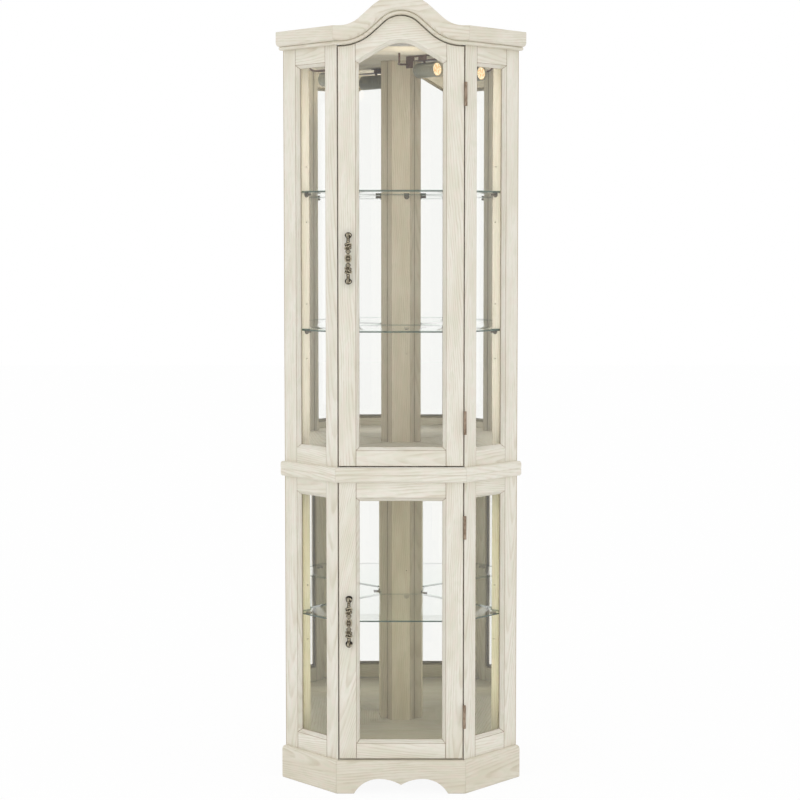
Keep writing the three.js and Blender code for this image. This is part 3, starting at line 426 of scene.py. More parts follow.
# The boards that carry the shelf pins: front stiles of the sides, rear stiles and the rear post. Each
# has a spare hole drilled above and below every pin, and the pins in use are dull steel.
steel = Shader("pin_steel")
steel_grain = steel.noise(steel.place(), (300, 300, 900))
pin_steel = steel.close(steel.principled({
    "Base Color": steel.mixed(steel_grain.rises(0.35, 0.7), tone(122, 116, 104), tone(96, 90, 80)),
    "Metallic": 0.85,
    "Roughness": 0.3 + steel_grain * 0.16,
}))
hole_radius = 2.0 * mm
hole_deep = 9 * mm
hole_sides = 20
hole_pitch = 64 * mm
pin_reach = 13 * mm
pin_drop = 3.3 * mm
pin_end = 1 * mm
pin_start = 0.1 * mm
# The rear post is darkened by a painted shade.
post_painted_shade = 0.8


def add(tree, kind, settings=None, sockets=()):
    """Adds a node to a geometry tree, with its settings, links and values."""
    made = tree.nodes.new(kind)
    for key, value in (settings or {}).items():
        setattr(made, key, value)
    pairs = sockets.items() if isinstance(sockets, dict) else enumerate(sockets)
    for key, value in pairs:
        if isinstance(value, bpy.types.NodeSocket):
            tree.links.new(value, made.inputs[key])
        else:
            made.inputs[key].default_value = value
    return made


def group_tree(name, **inputs):
    """A geometry tree and its inputs: the source points or edges, the named ones and the material."""
    tree = bpy.data.node_groups.new(name, "GeometryNodeTree")
    kinds = {"Geometry": "Geometry", **inputs, "Material": "Material"}
    for label, kind in kinds.items():
        tree.interface.new_socket(label, in_out="INPUT", socket_type=f"NodeSocket{kind}")
    tree.interface.new_socket("Geometry", in_out="OUTPUT", socket_type="NodeSocketGeometry")
    return tree, tree.nodes.new("NodeGroupInput").outputs


def close_tree(tree, given, geometry):
    realized = add(tree, "GeometryNodeRealizeInstances", {}, [geometry])
    surfaced = add(tree, "GeometryNodeSetMaterial", {}, {
        "Geometry": realized.outputs[0], "Material": given["Material"]})
    add(tree, "NodeGroupOutput", {}, [surfaced.outputs[0]])


def stood_on_points(tree, given, shape):
    """Stands a shape on every source point, turned as the Turn input says, and closes the tree."""
    turned = add(tree, "FunctionNodeEulerToRotation", {}, [given["Turn"]])
    stood = add(tree, "GeometryNodeInstanceOnPoints", {}, {
        "Points": given["Geometry"], "Instance": shape, "Rotation": turned.outputs[0]})
    close_tree(tree, given, stood.outputs[0])


def grown_mesh(name, tree, points, inputs, edges=()):
    """The plain mesh that a tree makes from source points and edges."""
    source = bpy.data.meshes.new(f"{name}_source")
    source.from_pydata([tuple(point) for point in points], edges, [])
    holder = bpy.data.objects.new(f"{name}_source", source)
    bpy.context.scene.collection.objects.link(holder)
    modifier = holder.modifiers.new("tree", "NODES")
    modifier.node_group = tree
    for item in tree.interface.items_tree:
        if item.in_out == "INPUT" and item.name in inputs:
            modifier[item.identifier] = inputs[item.name]
    bpy.context.view_layer.update()
    evaluated = holder.evaluated_get(bpy.context.evaluated_depsgraph_get())
    mesh = bpy.data.meshes.new_from_object(evaluated)
    holder.modifiers.clear()
    bpy.data.objects.remove(holder)
    mesh.name = name
    mesh.materials.clear()
    mesh.materials.append(inputs["Material"])
    return mesh


def turn_to(facing):
    return tuple(facing.to_track_quat("Z", "Y").to_euler())


# A row of drills: cylinders that stand on points, turned to the face that they enter.
drill_tree, given = group_tree("shelf_pin_drills", Radius="Float", Depth="Float", Sides="Int", Turn="Vector")
drill = add(drill_tree, "GeometryNodeMeshCylinder", {}, {
    "Vertices": given["Sides"], "Radius": given["Radius"], "Depth": given["Depth"]})
stood_on_points(drill_tree, given, drill.outputs["Mesh"])

shelf_levels = [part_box(f"{name}_glass_shelf")[0].z for name in ("bottom", "middle", "top")]
drilled = {"rear_corner_post": (level_x, Vector((0, -1, 0)), post_painted_shade)}
for side, line in panel_line.items():
    drilled[f"side_{side}_front_stile"] = (line, panel_back[side], 0.0)
    drilled[f"rear_stile_{side}"] = (panel_back[side], -line, 0.0)

for node, (over_face, face, painted_shade_share) in drilled.items():
    mesh = eased(node, arris)
    # The pins reach furthest along the face's direction, and the board's own face lies behind them.
    tips = max(vertex.co.dot(face) for vertex in mesh.vertices)
    ends = [vertex.co for vertex in mesh.vertices if vertex.co.dot(face) > tips - pin_end]
    middle = sum(ends, Vector()) / len(ends)
    pin_line = middle - face * middle.dot(face) - vertical * middle.z
    board_face = tips - pin_reach
    centres = [pin_line + face * board_face + vertical * (shelf - pin_drop + step * hole_pitch)
               for shelf in shelf_levels for step in (-1, 1)]
    cutter = finished_object(f"{node}_drills", grown_mesh(f"{node}_drills", drill_tree, centres, {
        "Radius": hole_radius, "Depth": hole_deep * 2, "Sides": hole_sides, "Turn": turn_to(face),
        "Material": washed_oak}))
    board = finished_object(f"{node}_oak", mesh, [washed_oak, pin_steel])
    cut = board.modifiers.new("holes", "BOOLEAN")
    cut.operation = "DIFFERENCE"
    cut.solver = "EXACT"
    cut.object = cutter
    bpy.context.view_layer.update()
    bored = bpy.data.meshes.new_from_object(board.evaluated_get(bpy.context.evaluated_depsgraph_get()))
    board.modifiers.clear()
    bpy.data.objects.remove(cutter)
    board.data = bored
    bored.materials.clear()
    for material in (washed_oak, pin_steel):
        bored.materials.append(material)
    for polygon in bored.polygons:
        polygon.material_index = 1 if polygon.center.dot(face) > board_face + pin_start else 0
    grained(bored, vertical, over_face, painted_shade_share)
    fitted(board, node)

# The doors: two stiles and two rails each, the upper one with an arched head. They are joined by
# stub tenons, and only a fine line shows at each joint.
stile_slants = {"upper": {"latch": 2, "hinge": -1}, "lower": {"latch": 15, "hinge": 5}}
head_rails = {"upper": "arched_rail", "lower": "top_rail"}
for door, slants in stile_slants.items():
    for hand, slant in slants.items():
        oak_board(f"{door}_door_{hand}_stile", vertical, level_x, slant=slant)
    for rail in ("bottom_rail", head_rails[door]):
        oak_board(f"{door}_door_{rail}", level_x, vertical)

# Panes: clear float glass, 4 mm thick, let into rabbets behind the bevels. Light from the lamps goes
# through them, with the faint green that such glass gives.
pane = Shader("clear_pane")
pane_body = pane.principled({
    "Base Color": (1.0, 1.0, 0.996, 1),
    "Roughness": 0.0,
    "IOR": 1.45,
    "Transmission Weight": 1.0,
})
pane_open = pane.node("ShaderNodeBsdfTransparent", {}, {"Color": (0.96, 0.97, 0.95, 1)})
pane_shadow = pane.node("ShaderNodeLightPath", {}, (), "Is Shadow Ray")
clear_pane = pane.close(pane.node("ShaderNodeMixShader", {}, [pane_shadow, pane_body, pane_open]))

# The studio's light comes in through every pane: a soft panel just behind each one, nearly as large
# as it is, that is seen in nothing. A panel in the middle of each compartment gives what the mirrors
# throw back to the frame of the door.
pane_light = {
    "upper": {"door": 0.2, "side": 1.65, "back": 0.85, "colour": (1.0, 0.96, 0.87)},
    "lower": {"door": 0.27, "side": 1.4, "back": 0.32, "colour": (1.0, 0.955, 0.6)},
}
pane_light_gap = 34 * mm
pane_light_inset = 17 * mm
return_gap = 200 * mm


def soft_panel(name, spot, heading, pane_size, level, colour):
    """A light panel that shines along heading, a little smaller than the pane it belongs to."""
    data = bpy.data.lights.new(name, "AREA")
    data.shape = "RECTANGLE"
    data.size, data.size_y = (measure - 2 * pane_light_inset for measure in pane_size)
    data.energy = level * math.pi * data.size * data.size_y
    data.color = colour
    turn = Matrix((vertical.cross(-heading), vertical, -heading)).transposed().to_4x4()
    hang_lamp(name, data).matrix_world = Matrix.Translation(spot) @ turn


glazing = {f"side_{side}_{row}_glass": side for side in ("left", "right") for row in ("upper", "lower")}
glazing.update({"upper_door_glass": None, "lower_door_glass": None})
for node, side in glazing.items():
    mesh = nodes[node].data
    mesh.materials.clear()
    mesh.materials.append(clear_pane)
    light = pane_light["upper" if "upper" in node else "lower"]
    ways = (panel_back[side], panel_line[side], vertical) if side else (rearward, level_x, vertical)
    reach = [[vertex.co.dot(way) for vertex in mesh.vertices] for way in ways]
    pane_size = [max(found) - min(found) for found in reach[1:]]
    spot = ways[0] * (max(reach[0]) + pane_light_gap)
    for way, found in zip(ways[1:], reach[1:]):
        spot += way * (min(found) + max(found)) / 2
    soft_panel(f"{node}_light", spot, rearward, pane_size, light["side" if side else "door"], light["colour"])
    if not side:
        low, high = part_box(node)
        spot = Vector((0, high.y + return_gap, (low.z + high.z) / 2))
        soft_panel(f"{node}_return", spot, -rearward, pane_size, light["back"], light["colour"])

# Mirrors on both back walls: silvered glass that isn't dead flat. It bows a little, and more in the
# lower compartment.
bow_upper = -0.0115
bow_lower = -0.047
bow_start = 0.068
silvering = Shader("silvered_glass")
silver_place = silvering.place()
silver_haze = silvering.noise(silver_place, (4, 4, 4))
silver_depth, silver_level = silvering.parts(silver_place)[1:]
above_waist = silver_level.rises(waist_low.z, waist_high.z)
silver_inner = silver_depth.math("MAXIMUM", bow_start)
silver_bow = silver_inner * above_waist * bow_upper + silver_depth * (1 - above_waist) * bow_lower
silvered = silvering.close(silvering.principled({
    "Base Color": silvering.mixed(silver_haze, (0.985, 0.99, 0.98, 1), (0.995, 0.995, 0.985, 1)),
    "Metallic": 1.0,
    "Roughness": 0.0,
    "Normal": silvering.bump(silver_bow * math.sqrt(2), 1.0),
}))
for side in panel_line:
    mesh = nodes[f"mirror_{side}"].data
    mesh.materials.clear()
    mesh.materials.append(silvered)

# Backs: thin fibreboard panels behind the mirrors, let into rabbets of the outer stiles and the rear
# post, bare and finely speckled.
fibre_board = Shader("fibreboard")
board_place = fibre_board.place()
board_speck = fibre_board.noise(board_place, (700, 700, 700), 3.0, 0.7)
board_cloud = fibre_board.noise(board_place, (9, 9, 9), 3.0, 0.6)
board_colour = fibre_board.mixed(board_cloud.rises(0.3, 0.7), tone(190, 176, 148), tone(185, 171, 143))
board_colour = fibre_board.mixed(board_speck.rises(0.5, 0.75) * 0.4, board_colour, tone(150, 134, 106))
fibreboard = fibre_board.close(fibre_board.principled({
    "Base Color": board_colour,
    "Roughness": 0.82 + board_speck * 0.1,
    "Normal": fibre_board.bump(board_speck, 0.1 * mm, 0.5),
}))
board_arris = 0.3 * mm
for side in panel_line:
    node = f"back_panel_{side}"
    fitted(finished_object(f"{node}_board", eased(node, board_arris), [fibreboard]), node)

# Glass shelves: clear plates that lie loose on the pins. Their edges are ground, and there the green
# of the glass shows dark, less so towards the top.
edge = Shader("green_glass_edge")
edge_wave = edge.noise(edge.place(), (60, 60, 200))
edge_body = edge.principled({
    "Base Color": edge.mixed(edge_wave.rises(0.3, 0.7), tone(58, 84, 72), tone(84, 112, 98)),
    "Roughness": 0.2 + edge_wave * 0.1,
})
edge_clear = edge.node("ShaderNodeBsdfTransparent", {}, {"Color": (0.86, 0.92, 0.88, 1)})
edge_fade = edge.stored("height").rises(0.5, 0.75)
green_edge = edge.close(edge.node("ShaderNodeMixShader", {}, [edge_fade, edge_body, edge_clear]))
plate = Shader("clear_shelf_glass")
plate_clear = plate.node("ShaderNodeBsdfTransparent", {}, {"Color": (0.975, 0.985, 0.978, 1)})
plate_gloss = plate.node("ShaderNodeBsdfAnisotropic", {}, {"Color": white, "Roughness": 0.0})
plate_inside = plate.node("ShaderNodeNewGeometry", {}, (), "Backfacing")
plate_shine = plate.node("ShaderNodeFresnel", {}, {"IOR": 1.3}) * (1 - plate_inside)
clear_shelf = plate.close(plate.node("ShaderNodeMixShader", {}, [plate_shine, plate_clear, plate_gloss]))
shelf_arris = 0.4 * mm
for name in ("bottom", "middle", "top"):
    node = f"{name}_glass_shelf"
    shelf = finished_object(f"{node}_plate", eased(node, shelf_arris), [clear_shelf, green_edge])
    for polygon in shelf.data.polygons:
        polygon.material_index = 0 if abs(polygon.normal.z) > square_on else 1
    low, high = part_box(node)
    heights = [(vertex.co.z - low.z) / (high.z - low.z) for vertex in shelf.data.vertices]
    shelf.data.attributes.new("height", "FLOAT", "POINT").data.foreach_set("value", heights)
    fitted(shelf, node)

# Pulls: cast bows in antique bronze. A long bar swells into a pierced boss at the middle, with rings
# and scrolls on each side and curled leaves over the feet.
bronze_dark = tone(26, 19, 11)
# A painted highlight for the proud ridges.
bronze_mid = tone(82, 70, 48)
bronze_painted_highlight = tone(198, 188, 164)
bronze = Shader("antique_bronze")
patina_and_shade = bronze.stored("patina_and_shade")
bronze_cloud = bronze.noise(bronze.place(), (180, 180, 180), 3.0, 0.6)
# Dark patina in grooves, painted shade on parts set back, painted highlight on proud ridges.
bronze_colour = bronze.mixed(patina_and_shade.rises(0.45, 0.75), bronze_mid, bronze_dark)
bronze_colour = bronze.mixed(1 - patina_and_shade.rises(0.2, 0.46), bronze_colour, bronze_painted_highlight)
bronze_colour = bronze.mixed(bronze_cloud.rises(0.5, 0.8) * 0.45, bronze_colour, bronze_dark)
antique_bronze = bronze.close(bronze.principled({
    "Base Color": bronze_colour,
    "Metallic": 0.55,
    "Roughness": 0.26 + patina_and_shade * 0.3 + bronze_cloud * 0.12,
    "Normal": bronze.bump(bronze_cloud, 0.12 * mm, 0.4),
}))
pull_half = 58.75
pull_root = 13.0
pull_bow = 7.84
pull_voxel = 0.46 * mm
pull_width = 1.3
hollow_reach = 2
hollow_spread = 0.9
bar_half = 46
bar_steps = 40
hoop_steps = 28
curl_steps = 26
proud_front = 2.9
sunk_front = 1.3


def bow_depth(z):
    """Where the bar's middle lies at a height z, in millimetres: it bows out in front of the door."""
    return -(pull_root + pull_bow * math.cos(z / pull_half * math.pi / 2))


def sweep(work, points, radii, sides=14, closed=False):
    """A tube of varying radius through points, in millimetres."""
    rings = []
    count = len(points)
    for index, point in enumerate(points):
        before = points[index - 1] if (index or closed) else point
        after = points[(index + 1) % count] if (index < count - 1 or closed) else point
        heading = (Vector(after) - Vector(before)).normalized()
        side = heading.cross(Vector((0.37, 0.91, 0.18))).normalized()
        other = heading.cross(side)
        radius = radii[index] if isinstance(radii, (list, tuple)) else radii
        rings.append([work.verts.new(Vector(point) + (side * math.cos(a) + other * math.sin(a)) * radius)
                      for a in (2 * math.pi * k / sides for k in range(sides))])
    pairs = list(zip(rings, rings[1:])) + ([(rings[-1], rings[0])] if closed else [])
    for first, second in pairs:
        for k in range(sides):
            j = (k + 1) % sides
            work.faces.new((first[k], first[j], second[j], second[k]))
    if not closed:
        work.faces.new(list(reversed(rings[0])))
        work.faces.new(rings[-1])


def ball(work, centre, radii):
    shape = Matrix.Translation(centre) @ Matrix.Diagonal((*radii, 1))
    bmesh.ops.create_uvsphere(work, u_segments=24, v_segments=16, radius=1, matrix=shape)


def hoop(work, centre, wide, tall, thick, normal="y"):
    """A closed ring, facing forwards or standing across the bar."""
    points = []
    for k in range(hoop_steps):
        a = 2 * math.pi * k / hoop_steps
        across, rise = wide * math.cos(a), tall * math.sin(a)
        points.append(Vector(centre) + Vector((across, 0, rise) if normal == "y" else (across, rise, 0)))
    sweep(work, points, thick, 10, closed=True)


def curl(work, start, turns, radius, thick, side, rise):
    """A leaf's curled end: a tapering spiral."""
    points, radii = [], []
    for k in range(curl_steps + 1):
        share = k / curl_steps
        a = turns * 2 * math.pi * share
        reach = radius * (1 - 0.72 * share)
        away = Vector((side * reach * math.sin(a), 0.8 * share, rise * reach * math.cos(a)))
        points.append(Vector(start) + away)
        radii.append(thick * (1 - 0.35 * share))
    sweep(work, points, radii, 10)


def pull_casting():
    """One pull as a single casting, with its feet on the door's face at the origin."""
    work = bmesh.new()
    bar = [-bar_half + 2 * bar_half * k / bar_steps for k in range(bar_steps + 1)]
    sweep(work, [(0, bow_depth(z), z) for z in bar], [2.3 + 0.7 * math.cos(z / 7.5) ** 2 for z in bar])
    # The boss: a hollowed oval with a raised rim and a bar across it.
    middle = bow_depth(0)
    ball(work, (0, middle + 0.9, 0), (6.1, 2.6, 11.2))
    hoop(work, (0, middle - 1.5, 0), 4.5, 9.2, 1.7)
    sweep(work, [(-4.6, middle - 1.2, 0), (0, middle - 2.2, 0), (4.6, middle - 1.2, 0)], [1.0, 1.3, 1.0])
    ball(work, (0, middle - 2.4, 6.6), (1.7, 1.2, 1.4))
    ball(work, (0, middle - 2.4, -6.6), (1.7, 1.2, 1.4))
    for end in (-1, 1):
        ball(work, (0, bow_depth(27) + 0.9, end * 27.2), (5.6, 2.5, 9.6))
        # Collars between the boss and the scrolls.
        for z, wide in ((13.0, 4.0), (15.2, 4.9), (17.4, 3.9)):
            hoop(work, (0, bow_depth(z), end * z), wide - 1.1, 2.4, 1.15, "z")
        # Scrolls: two open rings that lean over the bar, tied by a crossing rib.
        for z, x, wide in ((22.6, -1.2, 3.9), (30.4, 1.3, 3.8)):
            hoop(work, (x, bow_depth(z) - 1.3, end * z), wide - 0.2, wide * 0.92, 1.8)
            ball(work, (-x * 2.9, bow_depth(z) - 0.4, end * (z + 1)), (2.6, 2.3, 2.9))
        sweep(work, [(-4.2, bow_depth(20) - 1.0, end * 20), (0.6, bow_depth(26) - 2.6, end * 26.4),
                     (4.8, bow_depth(33) - 1.0, end * 33.5)], [0.8, 1.4, 0.8])
        sweep(work, [(3.6, bow_depth(22) - 0.6, end * 21), (0.0, bow_depth(28) - 2.0, end * 28),
                     (-4.4, bow_depth(35) - 0.6, end * 34)], [0.8, 1.2, 0.8])
        ball(work, (0, bow_depth(37.6), end * 37.6), (3.4, 3.0, 2.6))
        hoop(work, (0, bow_depth(41), end * 41), 2.2, 2.2, 1.0, "z")
        # Leaf over the foot, curled outwards at its tip.
        ball(work, (0.2 * end, bow_depth(50) + 1.7, end * 51.2), (5.6, 3.7, 7.2))
        curl(work, (0.9, bow_depth(52) - 1.6, end * 50.8), 1.35, 3.3, 1.7, 1, end)
        for x in (-2.8, -0.4):
            sweep(work, [(x * 0.4, bow_depth(44) - 2.0, end * 44.5), (x, bow_depth(50) - 3.5, end * 51),
                         (x * 1.1, bow_depth(56) - 1.2, end * 57.2)], [0.6, 0.95, 0.6])
        # Foot: a stem and a round seat against the door.
        seat = end * 51.75
        sweep(work, [(0, -1.2, seat), (0, -4.5, seat), (0, -12.5, seat)], [4.2, 3.0, 3.6], 20)
        sweep(work, [(0, -0.35, seat), (0, -0.9, seat), (0, -2.4, seat), (0, -2.9, seat)],
              [6.0, 6.2, 5.6, 4.2], 28)
    bmesh.ops.recalc_face_normals(work, faces=work.faces)
    bmesh.ops.scale(work, vec=(pull_width * mm, mm, mm), verts=work.verts)
    rough = bpy.data.meshes.new("pull_rough")
    work.to_mesh(rough)
    work.free()
    holder = bpy.data.objects.new("pull_rough", rough)
    bpy.context.scene.collection.objects.link(holder)
    remesh = holder.modifiers.new("cast", "REMESH")
    remesh.mode = "VOXEL"
    remesh.voxel_size = pull_voxel
    polish = holder.modifiers.new("polish", "SMOOTH")
    polish.factor = 0.5
    polish.iterations = 3
    bpy.context.view_layer.update()
    cast = bpy.data.meshes.new_from_object(holder.evaluated_get(bpy.context.evaluated_depsgraph_get()))
    holder.modifiers.clear()
    bpy.data.objects.remove(holder)
    return cast


def mark_patina_and_shade(mesh):
    """Stores patina, 0 on a ridge to 1 in a groove, with painted shade on parts set back from the front."""
    work = bmesh.new()
    work.from_mesh(mesh)
    work.normal_update()
    values = []
    neighbours = []
    for vertex in work.verts:
        joined = [edge.other_vert(vertex) for edge in vertex.link_edges]
        steps = [other.co - vertex.co for other in joined]
        bends = [step.dot(vertex.normal) / max(step.length_squared, 1e-12) for step in steps]
        values.append(sum(bends) / max(len(bends), 1))
        neighbours.append([other.index for other in joined])
    for _ in range(hollow_reach):
        values = [(value + sum(values[k] for k in near)) / (len(near) + 1)
                  for value, near in zip(values, neighbours)]
    places = [vertex.co / mm for vertex in work.verts]
    work.free()
    spread = sorted(abs(value) for value in values)[int(len(values) * hollow_spread)]
    shares = []
    for value, place in zip(values, places):
        # Parts that stand less far forward than the front of the bar take a painted shade.
        set_back_shade = (place.y - bow_depth(place.z) + proud_front) / (proud_front - sunk_front)
        shares.append(min(max(0.5 + value / spread * 0.5, set_back_shade, 0.0), 1.0))
    mesh.attributes.new("patina_and_shade", "FLOAT", "POINT").data.foreach_set("value", shares)


casting = pull_casting()
mark_patina_and_shade(casting)
casting.shade_smooth()
for door in stile_slants:
    node = f"{door}_door_handle"
    low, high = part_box(node)
    centre = (low + high) / 2
    mesh = casting.copy()
    mesh.transform(Matrix.Translation((centre.x, door_face, centre.z)))
    fitted(finished_object(f"{door}_door_pull", mesh, [antique_bronze]), node)

# Butt hinges in brown bronze, one leaf let into the frame and one into the door. Each leaf is held by
# three countersunk cross-head screws.
hinge = Shader("brown_bronze")
hinge_place = hinge.place()
hinge_cloud = hinge.noise(hinge_place, (160, 160, 60), 3.0, 0.6)
hinge_fine = hinge.noise(hinge_place, (900, 900, 200), 2.0, 0.6)
brown_bronze = hinge.close(hinge.principled({
    "Base Color": hinge.mixed(hinge_cloud.rises(0.35, 0.7), tone(170, 152, 134), tone(122, 103, 84)),
    "Metallic": 0.7,
    "Roughness": 0.36 + hinge_fine * 0.14,
    "Normal": hinge.bump(hinge_fine, 0.05 * mm, 0.5),
}))
leaf_arris = 0.12 * mm
leaf_seam = 142 * mm
leaf_proud = 0.15 * mm
screw_radius = 2.3 * mm
screw_rise = 0.1 * mm
screw_slot = 0.55 * mm
screw_depth = 9.4 * mm
screw_levels = (-20 * mm, 0.0, 20 * mm)
screw_sides = 24
slot_share = 1.25

# A countersunk screw: a flat round head with a cross cut into it.
screw_tree, given = group_tree("cross_head_screws", Radius="Float", Rise="Float", Slot="Float", Turn="Vector")
twice_rise = add(screw_tree, "ShaderNodeMath", {"operation": "MULTIPLY"}, [given["Rise"], 2.0])
slot_long = add(screw_tree, "ShaderNodeMath", {"operation": "MULTIPLY"}, [given["Radius"], slot_share])
head = add(screw_tree, "GeometryNodeMeshCylinder", {}, {
    "Vertices": screw_sides, "Radius": given["Radius"], "Depth": twice_rise.outputs[0]})
blade_size = add(screw_tree, "ShaderNodeCombineXYZ", {}, [
    slot_long.outputs[0], given["Slot"], twice_rise.outputs[0]])
blade = add(screw_tree, "GeometryNodeMeshCube", {}, {"Size": blade_size.outputs[0]})
lift = add(screw_tree, "ShaderNodeCombineXYZ", {}, [0.0, 0.0, given["Rise"]])
cut_head = add(screw_tree, "GeometryNodeMeshBoolean", {"operation": "DIFFERENCE"}, {0: head.outputs[0]})
for quarter in (0, 1):
    crossed = add(screw_tree, "GeometryNodeTransform", {}, {
        "Geometry": blade.outputs[0], "Translation": lift.outputs[0],
        "Rotation": (0, 0, quarter * math.pi / 2)})
    screw_tree.links.new(crossed.outputs[0], cut_head.inputs[1])
stood_on_points(screw_tree, given, cut_head.outputs[0])

hinges = [f"{door}_door_{end}_hinge" for door in stile_slants for end in ("top", "bottom")]
for name in hinges:
    for leaf, way in (("frame", -1), ("door", 1)):
        node = f"{name}_{leaf}_leaf"
        leaf_piece = finished_object(f"{node}_bronze", eased(node, leaf_arris), [brown_bronze])
        fitted(leaf_piece, node)
        low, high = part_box(node)
        places = [(leaf_seam - way * leaf_proud, door_face + screw_depth, (low.z + high.z) / 2 + step)
                  for step in screw_levels]
        heads = grown_mesh(f"{name}_{leaf}_screws", screw_tree, places, {
            "Radius": screw_radius, "Rise": screw_rise, "Slot": screw_slot,
            "Turn": turn_to(Vector((way, 0, 0))), "Material": brown_bronze})
        fitted(finished_object(f"{name}_{leaf}_screws", heads), body=bodies_of[node])

# Catches: a white moulded housing with its magnet, screwed behind each latch stile, and a steel
# strike plate let onto the back of each door.
moulding = Shader("white_moulding")
moulding_fine = moulding.noise(moulding.place(), (1200, 1200, 1200), 2.0, 0.6)
white_moulding = moulding.close(moulding.principled({
    "Base Color": moulding.mixed(moulding_fine, tone(228, 224, 214), tone(218, 213, 200)),
    "Roughness": 0.42 + moulding_fine * 0.12,
    "Normal": moulding.bump(moulding_fine, 0.04 * mm, 0.5),
}))
housing_arris = 0.7 * mm
strike_thick = 0.5 * mm
strike_inset = 4 * mm
strike_lift = 1 * mm
strike_corner = 1.6 * mm
strike_arris = 0.12 * mm
for door in stile_slants:
    node = f"{door}_door_catch"
    fitted(finished_object(f"{node}_housing", eased(node, housing_arris, 3), [white_moulding]), node)
    low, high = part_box(node)
    latch_low, latch_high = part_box(f"{door}_door_latch_stile")
    plate_low = Vector((low.x + strike_inset, latch_high.y, latch_low.z + strike_lift))
    plate_high = Vector((high.x - strike_inset, latch_high.y + strike_thick, high.z))
    shape = Matrix.Translation((plate_low + plate_high) / 2) @ Matrix.Diagonal((*(plate_high - plate_low), 1))
    work = bmesh.new()
    bmesh.ops.create_cube(work, size=1, matrix=shape)
    short = [edge for edge in work.edges if abs((edge.verts[0].co - edge.verts[1].co).y) > strike_thick / 2]
    bmesh.ops.bevel(work, geom=short, offset=strike_corner, segments=5, profile=0.5, affect="EDGES")
    rims = [edge for edge in work.edges if edge.calc_face_angle() > crease]
    bmesh.ops.bevel(work, geom=rims, offset=strike_arris, segments=2, profile=0.5, affect="EDGES")
    mesh = bpy.data.meshes.new(f"{door}_door_strike")
    work.to_mesh(mesh)
    work.free()
    fitted(finished_object(f"{door}_door_strike", mesh, [pin_steel]), body=f"{door}_door")

# Retaining beads: a soft buff bead all the way round, pressed into the rabbet behind each pane. It
# holds the glass against the frame.
bead_radius = 1.6 * mm
bead_inset = 1.9 * mm
bead_lift = 1.02
bead_sides = 10
bead = Shader("soft_bead")
bead_fine = bead.noise(bead.place(), (500, 500, 500), 2.0, 0.6)
soft_bead = bead.close(bead.principled({
    "Base Color": bead.mixed(bead_fine, tone(186, 176, 150), tone(160, 149, 121)),
    "Roughness": 0.3 + bead_fine * 0.15,
}))
bead_tree, given = group_tree("retaining_bead", Radius="Float", Sides="Int")
course = add(bead_tree, "GeometryNodeMeshToCurve", {}, [given["Geometry"]])
section = add(bead_tree, "GeometryNodeCurvePrimitiveCircle", {"mode": "RADIUS"}, {
    "Resolution": given["Sides"], "Radius": given["Radius"]})
rope = add(bead_tree, "GeometryNodeCurveToMesh", {}, {
    "Curve": course.outputs[0], "Profile Curve": section.outputs[0], "Fill Caps": False})
close_tree(bead_tree, given, rope.outputs[0])


def rim_of(node, facing):
    """The ordered outline of a pane's face that looks along facing."""
    work = cleaned(node)
    work.normal_update()
    face = max(work.faces, key=lambda f: f.normal.dot(facing) * f.calc_area())
    outline = [vertex.co.copy() for vertex in face.verts]
    work.free()
    return outline


def inset_outline(outline, facing, distance):
    """The outline moved inwards by a distance, with mitred corners."""
    centre = sum(outline, Vector()) / len(outline)
    moved = []
    for index, point in enumerate(outline):
        before = (point - outline[index - 1]).normalized()
        after = (outline[(index + 1) % len(outline)] - point).normalized()
        first, second = facing.cross(before), facing.cross(after)
        if first.dot(centre - point) < 0:
            first, second = -first, -second
        together = first + second
        moved.append(point + together * (distance / (1 + first.dot(second))))
    return moved


for node, side in glazing.items():
    facing = panel_back[side] if side else rearward
    outline = inset_outline(rim_of(node, facing), facing, bead_inset)
    raised = [point + facing * (bead_radius * bead_lift) for point in outline]
    mesh = grown_mesh(f"{node}_bead", bead_tree, raised, {
        "Radius": bead_radius, "Sides": bead_sides, "Material": soft_bead,
    }, [(k, (k + 1) % len(raised)) for k in range(len(raised))])
    mesh.shade_smooth()
    fitted(finished_object(f"{node}_bead", mesh), body=bodies_of[node])

# Panel pins: the backs are nailed to the case with small steel pins, every ten centimetres along
# their long edges and three to a short one.
nail_pitch = 0.1
nail_edge = 8 * mm
nail_radius = 1.8 * mm
nail_flat = (1, 1, 0.35)
short_edge_gaps = 3
nail_tree, given = group_tree("panel_nails", Radius="Float", Turn="Vector")
dome = add(nail_tree, "GeometryNodeMeshUVSphere", {}, {"Segments": 12, "Rings": 8, "Radius": given["Radius"]})
flattened = add(nail_tree, "GeometryNodeTransform", {}, {"Geometry": dome.outputs[0], "Scale": nail_flat})
stood_on_points(nail_tree, given, flattened.outputs[0])
for side, outward in panel_line.items():
    low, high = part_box(f"back_panel_{side}")
    sideways = panel_back[side]
    corners = [vertex.co for vertex in nodes[f"back_panel_{side}"].data.vertices]
    rear = outward * max(corner.dot(outward) for corner in corners)
    ends = [corner.dot(sideways) for corner in corners]
    first, last = min(ends) + nail_edge, max(ends) - nail_edge
    bottom, top = low.z + nail_edge, high.z - nail_edge
    rows = int((top - bottom) / nail_pitch)
    places = [rear + sideways * end + vertical * (bottom + (top - bottom) * row / rows)
              for row in range(rows + 1) for end in (first, last)]
    places += [rear + sideways * (first + (last - first) * gap / short_edge_gaps) + vertical * z
               for gap in range(1, short_edge_gaps) for z in (bottom, top)]
    mesh = grown_mesh(f"back_panel_{side}_nails", nail_tree, places, {
        "Radius": nail_radius, "Turn": turn_to(outward), "Material": pin_steel})
    mesh.shade_smooth()
    fitted(finished_object(f"back_panel_{side}_nails", mesh), body="cabinet")

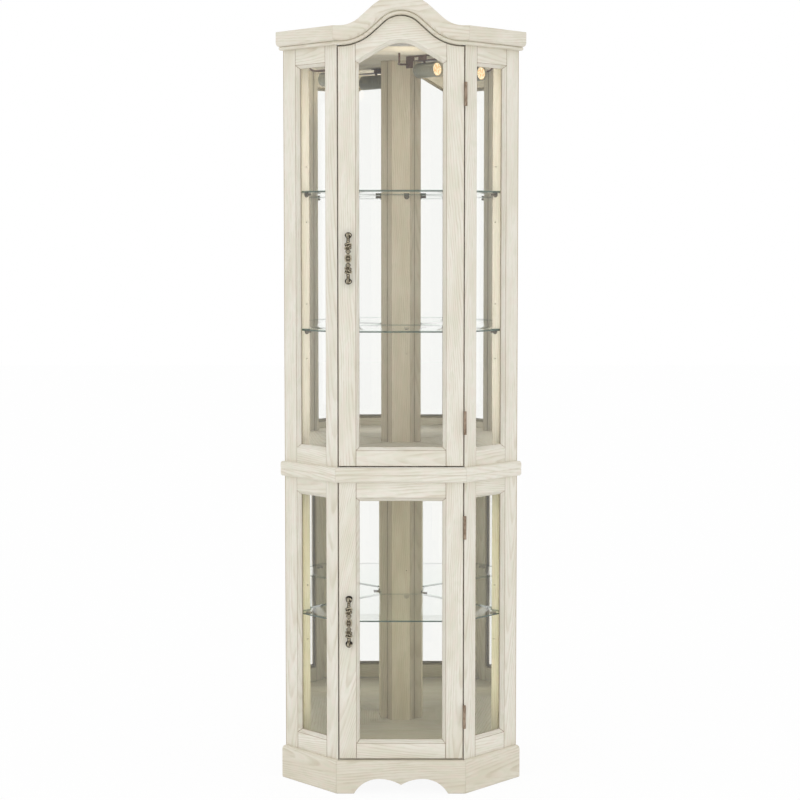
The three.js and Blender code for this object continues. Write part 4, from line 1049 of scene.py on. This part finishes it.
# The lamp: a satin grey can on a brown angle bracket under the top board, with a warm reflector bulb
# in its mouth and a turn switch at its closed end. It lights the top of the upper compartment.
can = Shader("satin_grey_metal")
can_brush = can.noise(can.place(), (500, 500, 60), 3.0, 0.6)
satin_grey = can.close(can.principled({
    "Base Color": can.mixed(can_brush.rises(0.3, 0.7), tone(150, 152, 140), tone(122, 124, 114)),
    "Metallic": 0.2,
    "Roughness": 0.24 + can_brush * 0.16,
}))
brown = Shader("brown_lacquer")
brown_fine = brown.noise(brown.place(), (420, 420, 420), 3.0, 0.6)
brown_lacquer = brown.close(brown.principled({
    "Base Color": brown.mixed(brown_fine.rises(0.35, 0.7), tone(104, 82, 72), tone(84, 64, 56)),
    "Metallic": 0.35,
    "Roughness": 0.34 + brown_fine * 0.16,
    "Normal": brown.bump(brown_fine, 0.05 * mm, 0.5),
}))
bulb = Shader("lit_reflector_bulb")
facet_cells = {"Vector": bulb.place(), "Scale": 330.0}
facets = bulb.node("ShaderNodeTexVoronoi", {"feature": "F1"}, facet_cells, "Distance")
facet_share = facets.rises(0.25, 0.75)
lit_bulb = bulb.close(bulb.principled({
    "Base Color": bulb.mixed(facet_share, tone(150, 132, 98), tone(112, 84, 52)),
    "Roughness": 0.2,
    "Emission Color": bulb.mixed(facet_share, tone(255, 247, 214), tone(238, 190, 120)),
    "Emission Strength": 0.95,
}))
lamp_pieces = {
    "lamp_holder": ("metal", "lamp_can", satin_grey, 0.35 * mm),
    "lamp_bracket": ("metal", "lamp_bracket", brown_lacquer, 0.3 * mm),
    "lamp_bulb": ("glass", "bulb", lit_bulb, 0.0),
    "lamp_switch_knob": ("metal", "lamp_bracket", brown_lacquer, 0.4 * mm),
}
for node, (stuff, slot_name, material, width) in lamp_pieces.items():
    fitted(finished_object(f"{node}_{stuff}", eased(node, width), [material]), node)
lamp_warm = (1.0, 0.9, 0.72)
lamp_power = 0.16
beam_spread = math.radians(110)
beam_blend = 0.8
beam_width = 8 * mm
spill_width = 30 * mm
mouth_gap = 4 * mm
spill_aside = 10 * mm
spill_behind = 75 * mm
spill_drop = 30 * mm
bulb_low, bulb_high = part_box("lamp_bulb")
lamp_heading = Vector((diagonal, -diagonal, 0))
lamp_mouth = Vector((bulb_high.x, bulb_low.y, (bulb_low.z + bulb_high.z) / 2)) + lamp_heading * mouth_gap
beam = bpy.data.lights.new("lamp_beam", "SPOT")
beam.spot_size = beam_spread
beam.spot_blend = beam_blend
beam.shadow_soft_size = beam_width
spill = bpy.data.lights.new("lamp_spill", "POINT")
spill.shadow_soft_size = spill_width
for light_data in (beam, spill):
    light_data.energy = lamp_power
    light_data.color = lamp_warm
beam_lamp = hang_lamp("lamp_beam", beam)
beam_lamp.location = lamp_mouth
beam_lamp.rotation_euler = lamp_heading.to_track_quat("-Z", "Y").to_euler()
spill_lamp = hang_lamp("lamp_spill", spill)
spill_lamp.location = (spill_aside, door_face + spill_behind, lamp_mouth.z - spill_drop)
